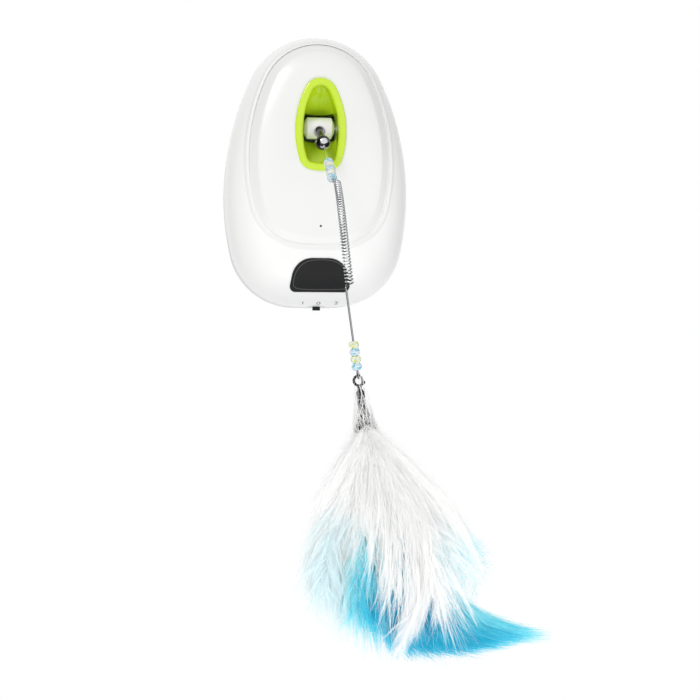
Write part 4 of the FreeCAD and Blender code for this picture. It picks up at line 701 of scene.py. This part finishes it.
# The wound spring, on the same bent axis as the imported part

class Coil:
    # The wand: barrel, reach of the ball, straight root, and the bend that carries the beads
    BARREL = Vector((0, -39, 20.5))
    BALL_REACH = 23
    ROOT_RUN = 28
    ROOT_SLOPE = math.radians(29.5)
    BEAD_RUN = 22
    COIL_SLOPE = math.radians(37)
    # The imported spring
    LEAD = 2
    LENGTH = 62
    RADIUS = 2.0
    LEAN = math.radians(8)
    TURNS = 37
    PHASE = 40
    STEPS = 24
    WIRE_RADIUS = 0.5
    # The fine spring in its place: its wire, its radius at both ends, and how far in it stops
    FINE_WIRE = 0.34
    FINE_RADII = (1.5, 1.8)
    FIRST_END = 0.8
    LAST_END = 2.0

    def __init__(self):
        bend_start = self.BARREL + self.way(self.ROOT_SLOPE) * (self.BALL_REACH + self.ROOT_RUN)
        radius = self.BEAD_RUN / (self.COIL_SLOPE - self.ROOT_SLOPE)
        bend = self.bend(radius, self.ROOT_SLOPE, self.COIL_SLOPE)
        self.start = bend_start + bend + self.way(self.COIL_SLOPE) * self.LEAD

    def way(self, slope):
        return Vector((0, -math.cos(slope), -math.sin(slope)))

    def bend(self, radius, start, end):
        """Gain of an arc that steepens from one slope to another."""
        return Vector((0, -radius * (math.sin(end) - math.sin(start)),
                       -radius * (math.cos(start) - math.cos(end))))

    def axis(self, run):
        """Spot, way and normal of the spring's axis after a run."""
        lean = math.sin(self.LEAN)
        radius = self.LENGTH / (math.pi / 2 - self.COIL_SLOPE)
        slope = self.COIL_SLOPE + run / radius
        drift = lean * run ** 3 / (3 * self.LENGTH ** 2)
        gain = self.bend(radius, self.COIL_SLOPE, slope)
        spot = self.start + Vector((self.RADIUS + drift, gain.y, gain.z))
        way = (self.way(slope) + Vector((lean * (run / self.LENGTH) ** 2, 0, 0))).normalized()
        return spot, way, way.cross(Vector((1, 0, 0))).normalized()

    def run(self, share):
        return self.FIRST_END + (self.LENGTH - self.FIRST_END - self.LAST_END) * share

    def turn(self, share):
        """Spot of the wire's middle after a share of the turns."""
        angle = math.radians(self.PHASE + (360 * self.TURNS - 2 * self.PHASE) * share)
        spot, way, normal = self.axis(self.run(share))
        left = way.cross(normal)
        radius = self.FINE_RADII[0] + (self.FINE_RADII[1] - self.FINE_RADII[0]) * share
        return spot + (left * math.cos(angle) + normal * math.sin(angle)) * radius

    def root(self):
        """Where the lower wire starts, and the way it runs."""
        spot, way, normal = self.axis(self.LENGTH)
        return spot + way.cross(normal) * self.RADIUS, way

    def path(self):
        """Middle of the wire, in metres, with a short lead at both ends."""
        first = self.way(self.COIL_SLOPE)
        last, last_way = self.root()
        count = self.TURNS * self.STEPS
        spots = [self.start, self.start + first * self.WIRE_RADIUS]
        spots += [self.turn(step / count) for step in range(count + 1)]
        spots += [last - last_way * self.WIRE_RADIUS, last]
        return [spot * MM for spot in spots]


# Spring: sides of its wire, the points at each end tinted dark and their tint, and the painted
# shade at the coil's flanks
SPRING_SIDES = 10
DARK_LEADS = 14
LEAD_TINT = 0.35
FLANK_PAINTED_SHADE = 0.4


def make_spring(coil, material):
    """Fine spring, with painted shade towards the inside of its turns and at its flanks, and
    tinted dark along its leads.
    """
    path = coil.path()
    spots, faces = tube_mesh(path, coil.FINE_WIRE * MM, SPRING_SIDES)
    spring = new_piece("spring_turns", spots, faces, material, None)
    tints = []
    for place, spot in enumerate(spots):
        index = place // SPRING_SIDES
        share = min(1, max(0, (index - 2) / (len(path) - 4)))
        inward = (coil.axis(coil.run(share))[0] * MM - path[index]).normalized()
        # Painted shade: the wire darkens in colour on the inside of each turn and at the coil's
        # flanks
        tint = abs(inward.x) ** 4 * FLANK_PAINTED_SHADE
        if min(index, len(path) - 1 - index) < DARK_LEADS:
            tint = max(tint, LEAD_TINT)
        tints.append(max(tint, (spot - path[index]).normalized().dot(inward)))
    set_tint(spring, tints)
    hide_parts("wound_spring")
    start = coil.axis(0)[0] * MM
    end = coil.axis(coil.LENGTH)[0] * MM
    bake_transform(spring)


# Feathers. Places are (right, front, down) from the cap's rim, leaning with the wire

FRONT_LIMIT = 14
FRONT_SQUEEZE = 0.35
RIM_ABOVE = 0.75
QUILL_STEPS = 14
QUILL_SIDES = 6
QUILL_TAPER = 0.85
# A strand's width as a share of the one asked for, and the share that it loses at its tip
WIDTHS = (0.6, 1.3)
MANE_WIDTHS = (0.6, 1.4)
STRAND_TAPER = 0.8
CROWD = 1.0


class Lure:
    """Turns places on the feathers into spots in metres."""

    def __init__(self, coil):
        root, way = coil.root()
        self.down = way
        self.right = (Vector((1, 0, 0)) - way * way.x).normalized()
        self.front = Vector((0, -1, 0))
        low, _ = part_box("feather_cap")
        self.rim = root + way * ((low[2] / MM - root.z) / way.z - RIM_ABOVE)

    def place(self, spot):
        """Spot of a place; what stands out to the front past the limit is squeezed."""
        front = spot[1]
        if front >= FRONT_LIMIT:
            front = FRONT_LIMIT + FRONT_SQUEEZE * (front - FRONT_LIMIT)
        return (self.rim + self.right * spot[0] + self.front * front + self.down * spot[2]) * MM


def bezier(points, share):
    rest = 1 - share
    weights = (rest ** 3, 3 * rest ** 2 * share, 3 * rest * share ** 2, share ** 3)
    return sum((Vector(point) * weight for point, weight in zip(points, weights)), Vector())


def guide_points(guide):
    """Curve from the inside of the cap through three (right, down) places."""
    return [(0, 0, -4)] + [(right, 0, down) for right, down in guide]


class Fan:
    """Guide curves side by side, from the cap's rim outwards."""

    def __init__(self, guides, front, depth):
        self.guides = [guide_points(guide) for guide in guides]
        self.front = front
        self.depth = depth

    def spot(self, across, share, level):
        """Place on the fan; level runs from -1 at its back to 1 at its front."""
        index = min(int(across), len(self.guides) - 2)
        first = bezier(self.guides[index], share)
        second = bezier(self.guides[index + 1], share)
        spot = first.lerp(second, across - index)
        swell = math.sin(math.pi * min(1, 0.12 + 0.78 * share)) ** 0.8
        spot.y = (self.front + level * self.depth) * swell
        return spot

    def widest(self):
        """Place just inside the last guide."""
        return len(self.guides) - 1.0001


def scatter(chance, size):
    return Vector((chance.gauss(0, 1), chance.gauss(0, 1), chance.gauss(0, 1))) * size


def askew(chance, turn, tilt):
    """Way to the front, off by chance."""
    return Vector((chance.gauss(0, turn), 1, chance.gauss(0, tilt)))


def few(count):
    return int(count * CROWD)


class Strands:
    """Collects thin ribbons with their tint, then makes one mesh of them.

    The order of the random draws decides how the feathers look.
    """

    def __init__(self, chance):
        self.chance = chance
        self.spots = []
        self.faces = []
        self.tints = []

    def ribbon(self, path, width, facing, tints):
        """Flat strand along a path, narrower towards its tip."""
        first = len(self.spots)
        last = len(path) - 1
        for index, spot in enumerate(path):
            ahead = path[min(index + 1, last)] - path[max(index - 1, 0)]
            side = ahead.cross(facing)
            half = width * (1 - STRAND_TAPER * (index / last) ** 2) / 2
            side = side.normalized() * half if side.length > 1e-9 else Vector()
            self.spots += [spot - side, spot + side]
            self.tints += [tints[index]] * 2
        for index in range(last):
            corner = first + 2 * index
            self.faces.append((corner, corner + 1, corner + 3, corner + 2))

    def hair(self, path, tint_of, own, facing, width):
        """Ribbon of about a width, whose tint is off by its own amount."""
        last = len(path) - 1
        tints = [min(1, max(0, tint_of(spot, step / last) + own))
                 for step, spot in enumerate(path)]
        self.ribbon(path, width * self.chance.uniform(*WIDTHS), facing, tints)

    def comb(self, fan, tint_of, count, starts, ends, width, wander, steps=6):
        """Strands that follow the fan, each over its own stretch, a little out of line."""
        chance = self.chance
        for _ in range(few(count)):
            across = chance.uniform(0, fan.widest())
            drift = chance.gauss(0, 0.25)
            level = chance.uniform(-1, 1)
            start = chance.uniform(*starts)
            end = min(1.0, max(start + 0.15, chance.uniform(*ends)))
            off = scatter(chance, wander)
            wave = chance.uniform(0, 6.28)
            path = []
            for step in range(steps + 1):
                share = step / steps
                along = start + (end - start) * share
                slide = min(len(fan.guides) - 1.001, max(0.0, across + drift * share))
                sway = Vector((math.sin(wave + 5 * share), 0, 0)) * wander * 0.25
                path.append(fan.spot(slide, along, level) + (off * share ** 1.5 + sway))
            self.hair(path, tint_of, chance.gauss(0, 0.12), askew(chance, 0.45, 0.2), width)

    def locks(self, fan, tint_of, count, hairs, starts, ends, radius, width, steps=7):
        """Wisps: hairs that leave side by side and draw together towards a pointed tip."""
        chance = self.chance
        for _ in range(few(count)):
            across = chance.uniform(0, fan.widest())
            level = chance.uniform(-0.2, 1)
            start = chance.uniform(*starts)
            end = min(1.0, max(start + 0.25, chance.uniform(*ends)))
            bend = scatter(chance, 3.2)
            size = radius * chance.uniform(0.5, 1.4)
            for _ in range(int(hairs * chance.uniform(0.6, 1.4))):
                off = scatter(chance, size)
                stop = start + (end - start) * chance.uniform(0.7, 1.06)
                begin = start + (end - start) * chance.uniform(0, 0.3)
                path = []
                for step in range(steps + 1):
                    along = min(1.0, begin + (stop - begin) * (step / steps))
                    through = (along - start) / (end - start)
                    spread = 1 - 0.78 * max(0, through) ** 1.3
                    spot = fan.spot(across, along, level)
                    path.append(spot + off * spread + bend * through ** 2)
                self.hair(path, tint_of, chance.gauss(0, 0.1), askew(chance, 0.6, 0.3), width)

    def barbs(self, shaft, tint_of, count, hairs, reach, length, front, width, steps=6):
        """Tufts that leave a plume's shaft to both sides and curve towards its tip."""
        chance = self.chance
        points = guide_points(shaft)
        for _ in range(few(count)):
            share = chance.uniform(*reach)
            root = bezier(points, share)
            ahead = bezier(points, min(1, share + 0.02))
            along = (ahead - bezier(points, share - 0.02)).normalized()
            side = Vector((along.z, 0, -along.x)) * chance.choice((-1, 1))
            lift = Vector((0, chance.uniform(-0.7, 1), 0))
            open_angle = math.radians(chance.uniform(12, 48))
            close = chance.uniform(0.45, 1.25)
            whole = length * chance.uniform(0.55, 1.15) * (0.55 + 0.45 * math.sin(math.pi * share))
            curl = scatter(chance, 0.16)
            for _ in range(int(hairs * chance.uniform(0.5, 1.5))):
                off = scatter(chance, 0.75)
                path = [root + Vector((0, front, 0)) + off]
                size = whole * chance.uniform(0.7, 1.1) / steps
                draw = off * (-0.8 / steps)
                for step in range(steps):
                    angle = open_angle * (1 - close * step / steps)
                    heading = (along * math.cos(angle) + (side + lift * 0.5) * math.sin(angle)
                               + curl * (step / 3))
                    sag = Vector((0, 0, 0.03 * step))
                    path.append(path[-1] + heading.normalized() * size + draw + sag)
                self.hair(path, tint_of, chance.gauss(0, 0.1), askew(chance, 0.5, 0.3), width)

    def fluff(self, fan, tint_of, count, reach, length, droop, edge=0.0, width=0.07, steps=3):
        """Short curled down that stands off the fan all over, or more of it at its edges."""
        chance = self.chance
        for _ in range(few(count)):
            across = chance.uniform(0, fan.widest())
            if edge:
                side = chance.random() ** (1 + edge)
                across = side if chance.random() < 0.5 else fan.widest() - side
            share = chance.uniform(*reach)
            root = fan.spot(across, share, chance.gauss(0, 0.8))
            out = root - fan.spot((len(fan.guides) - 1) / 2, share, 0)
            out = out.normalized() if out.length > 1e-6 else Vector((0, 1, 0))
            out += scatter(chance, 0.75)
            heading = (out.normalized() + Vector((0, 0, droop))).normalized()
            size = chance.uniform(0.45, 1.1) * length
            curl = scatter(chance, 0.5)
            path = [root]
            for _ in range(steps):
                heading = (heading + curl * 0.45 + Vector((0, 0, 0.24))).normalized()
                path.append(path[-1] + heading * size / steps)
            self.hair(path, tint_of, chance.gauss(0, 0.12),
                      scatter(chance, 1) + Vector((0, 1, 0)), width)

    def mane(self, tint_of, count, width, steps=8):
        """Stray hairs that lie back over the cap and the clasp."""
        chance = self.chance
        for _ in range(count):
            turn = chance.uniform(-1.9, 1.9)
            lean = chance.gauss(0, 1.7)
            rise = chance.uniform(7, 29)
            start = chance.uniform(-2, 6)
            swell = chance.uniform(0.2, 1.8)
            path = []
            for step in range(steps + 1):
                share = step / steps
                up = start - (start + rise) * share
                girth = 1.8 + 2.9 * max(0, 1 + up / 22) ** 1.6
                angle = turn + lean * share
                out = girth + swell * math.sin(math.pi * share) + 0.25
                path.append(Vector((math.sin(angle) * out, math.cos(angle) * out * 0.8, up)))
            tints = [tint_of(spot, 0.5) for spot in path]
            self.ribbon(path, width * chance.uniform(*MANE_WIDTHS),
                        Vector((0, 1, 0)) + scatter(chance, 0.4), tints)

    def build(self, name, lure, material, node):
        """Make the mesh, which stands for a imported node."""
        spots = [lure.place(spot) for spot in self.spots]
        piece = new_piece(name, spots, self.faces, material, None, smooth=False)
        set_tint(piece, self.tints)
        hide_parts(node)
        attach(piece, "lure")


def quill_piece(name, lure, quill, material, radius):
    """Tapered middle shaft of a plume."""
    path = [lure.place(bezier(quill, step / QUILL_STEPS)) for step in range(QUILL_STEPS + 1)]
    spots, faces = tube_mesh(path, radius * MM, QUILL_SIDES)
    for place, spot in enumerate(spots):
        index = place // QUILL_SIDES
        size = 1 - QUILL_TAPER * index / QUILL_STEPS
        spots[place] = path[index] + (spot - path[index]) * size
    piece = new_piece(name, spots, faces, material, "lure")


# Guides of the fans, from left to right: the blue fan and its sweep and fringe to the right,
# then the white veil on its left, the crest, the long plume and the loose wisps
BLUE_GUIDES = [
    [(-16.7, 22.1), (-30.2, 44.6), (-35.8, 70)],
    [(-12.3, 24.6), (-27.2, 50.7), (-34.1, 82.4)],
    [(-10, 27.7), (-21.7, 62.6), (-27, 92.6)],
    [(-6.4, 29.2), (-14.1, 68.3), (-15, 99)],
    [(-1.1, 31.8), (-2.8, 69), (-2.6, 103)],
    [(2.6, 32.3), (8.2, 71.5), (10.3, 106)],
    [(6.2, 32.9), (15.4, 75.8), (24.1, 108.3)],
    [(8.9, 33.3), (20.8, 78.8), (38.4, 108.2)],
]
SWEEP_GUIDES = [
    [(0, 40), (-8, 92), (0, 108)],
    [(1, 40), (-4, 104), (20, 111)],
    [(2, 40), (4, 110), (42, 112)],
    [(3, 40), (10, 113), (60, 111)],
    [(4, 38), (16, 106), (78, 110.5)],
    [(6, 36), (20, 93), (68, 106.5)],
]
FRINGE_GUIDES = [
    [(10, 34), (27, 66), (30, 96)],
    [(12, 33), (31, 58), (42, 84)],
    [(13, 32), (34, 51), (49, 74)],
    [(13, 30), (34, 46), (47, 62)],
]
VEIL_GUIDES = [
    [(-16.2, 18.4), (-25.6, 32.1), (-32.9, 44.3)],
    [(-13.9, 22.5), (-26.1, 49), (-36.8, 71.9)],
    [(-9.3, 23.1), (-18.3, 53.8), (-32, 90)],
    [(-5.6, 23.6), (-12.1, 56.5), (-19, 100)],
]
CREST_GUIDES = [
    [(-17.8, 16.3), (-25.4, 23.7), (-29.9, 36.2)],
    [(-9.9, 13.7), (-18, 31.3), (-25.4, 50.9)],
    [(-3.7, 16.4), (-6.8, 38.5), (-12.6, 60.2)],
    [(2.6, 18.2), (2.2, 41.6), (-2.1, 65.5)],
    [(9.1, 19.1), (14.2, 43.3), (10.6, 69.1)],
    [(13.8, 18.8), (27.6, 41.4), (27.7, 67.7)],
    [(17.5, 19.3), (35.2, 40.6), (41.6, 62.1)],
    [(17.8, 17.5), (38.8, 42), (44.4, 75.7)],
]
PLUME_GUIDES = [
    [(12.1, 29.5), (22.7, 60.3), (-4.5, 104.4)],
    [(20.1, 29.5), (36.7, 60.3), (0.5, 106.4)],
]
WISP_GUIDES = [
    [(2.8, 37), (-11.8, 54.7), (-12.4, 79)],
    [(6, 41.2), (-4.3, 61.4), (-7.2, 89.2)],
    [(13.7, 47), (2.3, 67.9), (-5.1, 100.7)],
    [(18.7, 51.4), (9.8, 74.6), (2.8, 98.1)],
    [(24.1, 59.7), (20.4, 79.8), (23.8, 109.4)],
    [(24.8, 61.7), (25.6, 82.5), (33.1, 109.8)],
    [(25.3, 58), (31.4, 81.4), (44.1, 98.2)],
]
# Shafts of single plumes; the blue ones stand at their own fronts
WHITE_SHAFTS = [
    [(16.1, 29.5), (28.7, 60.3), (-2, 105.4)],
    [(-4, 16), (-8, 34), (-12, 58)],
    [(-12, 16), (-21, 34), (-27, 58)],
    [(4, 22), (9, 44), (0, 72)],
    [(14, 25), (28, 45), (34, 70)],
    [(10, 30), (22, 62), (20, 90)],
]
BLUE_SHAFTS = {
    6.0: [[(-12.3, 24.6), (-27.2, 48.7), (-31, 70)],
          [(-6.4, 29.2), (-14.1, 60.3), (-16.3, 82)]],
    1.0: [[(1, 31.8), (2.8, 65), (2, 92)]],
    -1.0: [[(6.2, 32.9), (15.4, 75.8), (24, 98)]],
}
WHITE_FRONTS = (4, 9)
BLUE_QUILLS = {
    "middle": [(0, -1, -6), (-2, -3, 30), (2, -5, 68), (4, -5, 100)],
    "left": [(0, -1, -6), (-12, -3, 18), (-22, -5, 50), (-24, -4, 88)],
    "right": [(0, -1, -6), (10, -3, 30), (22, -5, 66), (36, -5, 98)],
    "sweep": [(0, 0, -6), (4, -2, 40), (16, -3, 105), (72, -2, 110)],
}
WHITE_QUILLS = {
    "plume": [(0, 1, -6), (16, 5, 29), (29, 7, 60), (0, 6, 96)],
    "left": [(0, 1, -6), (-6, 4, 14), (-14, 6, 36), (-20, 6, 62)],
    "right": [(0, 1, -6), (14, 3, 12), (28, 4, 34), (38, 3, 58)],
}


# Tints, from 0 at a feather's heart to 1 at its edge; share runs from a strand's root to its tip

def blue_tint(spot, share):
    """Deep in the heart of the fan, pale towards its outline and its left."""
    heart = math.hypot((spot.x - 14) / 42, (spot.z - 90) / 32)
    left = max(0, -spot.x - 8) / 30
    return 0.02 + 0.62 * max(0, heart - 0.25) + 0.8 * left + 0.2 * share ** 4


def sweep_tint(spot, share):
    """Paler towards the sweep's far tip and its upper side."""
    upper = max(0, min(1, (106 - spot.z) / 14))
    return 0.22 + 0.5 * max(0, spot.x - 36) / 40 + 0.45 * upper + 0.25 * max(0, share - 0.8)


def fringe_tint(spot, share):
    return 0.55 + 0.35 * share


def veil_tint(spot, share):
    return 0.78 + 0.2 * share


def white_tint(spot, share):
    return 0.35 + 0.5 * share


def make_blue_feathers(chance, lure, material):
    blue = Strands(chance)
    fan = Fan(BLUE_GUIDES, front=-4.5, depth=5.5)
    blue.comb(fan, blue_tint, 4300, starts=(0.05, 0.6), ends=(0.75, 1.0), width=0.24, wander=4.0)
    blue.locks(fan, blue_tint, 100, hairs=26, starts=(0.35, 0.6), ends=(0.85, 1.0),
               radius=1.5, width=0.17)
    blue.fluff(fan, blue_tint, 3600, reach=(0.3, 1.0), length=7, droop=0.6, edge=1.5)
    for front, shafts in BLUE_SHAFTS.items():
        for shaft in shafts:
            blue.barbs(shaft, blue_tint, 120, hairs=12, reach=(0.4, 0.98), length=24,
                       front=front, width=0.18)
    fringe = Fan(FRINGE_GUIDES, front=-1.0, depth=4.0)
    blue.comb(fringe, fringe_tint, 500, starts=(0.3, 0.7), ends=(0.7, 1.0),
              width=0.13, wander=2.6)
    blue.fluff(fringe, fringe_tint, 1600, reach=(0.5, 1.0), length=7, droop=0.4)
    blue.build("blue_down", lure, material, "blue_plume")

    sweep = Strands(chance)
    fan = Fan(SWEEP_GUIDES, front=-2.5, depth=3.0)
    sweep.comb(fan, sweep_tint, 4400, starts=(0.3, 0.8), ends=(0.7, 1.0), width=0.2, wander=1.4)
    sweep.fluff(fan, sweep_tint, 1500, reach=(0.5, 0.97), length=5, droop=0.2, edge=1.0)
    sweep.build("blue_sweep", lure, material, "long_wisp")


def make_white_feathers(chance, lure, material):
    white = Strands(chance)
    veil = Fan(VEIL_GUIDES, front=1.5, depth=4.0)
    white.comb(veil, veil_tint, 700, starts=(0.1, 0.5), ends=(0.5, 0.9), width=0.15, wander=3.0)
    white.locks(veil, white_tint, 70, hairs=14, starts=(0.3, 0.6), ends=(0.75, 1.0),
                radius=1.2, width=0.13)
    white.fluff(veil, white_tint, 3800, reach=(0.3, 1.0), length=8, droop=0.4)

    crest = Strands(chance)
    fan = Fan(CREST_GUIDES, front=3.0, depth=8.5)
    crest.comb(fan, white_tint, 2600, starts=(0.0, 0.5), ends=(0.45, 1.0), width=0.17, wander=3.0)
    crest.locks(fan, white_tint, 130, hairs=26, starts=(0.25, 0.6), ends=(0.75, 1.0),
                radius=1.7, width=0.14)
    crest.fluff(fan, white_tint, 13000, reach=(0.05, 0.98), length=8, droop=0.35)
    crest.fluff(fan, white_tint, 4000, reach=(0.02, 0.25), length=6, droop=0.1)
    crest.build("white_crest", lure, material, "white_plume")

    for shaft in WHITE_SHAFTS:
        white.barbs(shaft, white_tint, 110, hairs=9, reach=(0.15, 0.97), length=22,
                    front=chance.uniform(*WHITE_FRONTS), width=0.14)
    plume = Fan(PLUME_GUIDES, front=8.0, depth=2.0)
    white.comb(plume, white_tint, 420, starts=(0.3, 0.85), ends=(0.85, 1.0),
               width=0.16, wander=1.4)
    white.locks(plume, white_tint, 11, hairs=36, starts=(0.4, 0.6), ends=(0.95, 1.0),
                radius=1.8, width=0.15)
    wisps = Fan(WISP_GUIDES, front=10.0, depth=3.0)
    white.locks(wisps, white_tint, 42, hairs=10, starts=(0.35, 0.6), ends=(0.75, 1.0),
                radius=0.6, width=0.2)
    white.comb(wisps, white_tint, 260, starts=(0.3, 0.6), ends=(0.75, 1.0),
               width=0.24, wander=4.4)
    white.mane(white_tint, 85, width=0.3)
    white.build("white_down", lure, material, "white_plume")


def make_feathers(lure, materials):
    chance = random.Random(11)
    make_blue_feathers(chance, lure, materials["blue_down"])
    make_white_feathers(chance, lure, materials["white_down"])
    for name, quill in WHITE_QUILLS.items():
        quill_piece("white_quill_" + name, lure, quill, materials["quill"], 0.35)
    for name, quill in BLUE_QUILLS.items():
        quill_piece("blue_quill_" + name, lure, quill, materials["blue_quill"], 0.4)


set_camera()
set_world()
set_lights()
MATERIALS = {name: make(name, *colours, **settings) for make, recipes in RECIPES.items()
             for name, (colours, settings) in recipes.items()}
dress_nodes(MATERIALS)
COIL = Coil()
make_spring(COIL, MATERIALS["coil_steel"])
make_feathers(Lure(COIL), MATERIALS)
make_panel(MATERIALS["white_panel"])
make_marks(MATERIALS["print_grey"])
make_window_line(MATERIALS["window_edge"])
make_floor(MATERIALS["floor_grey"])

bpy.context.scene.view_settings.view_transform = "Standard"
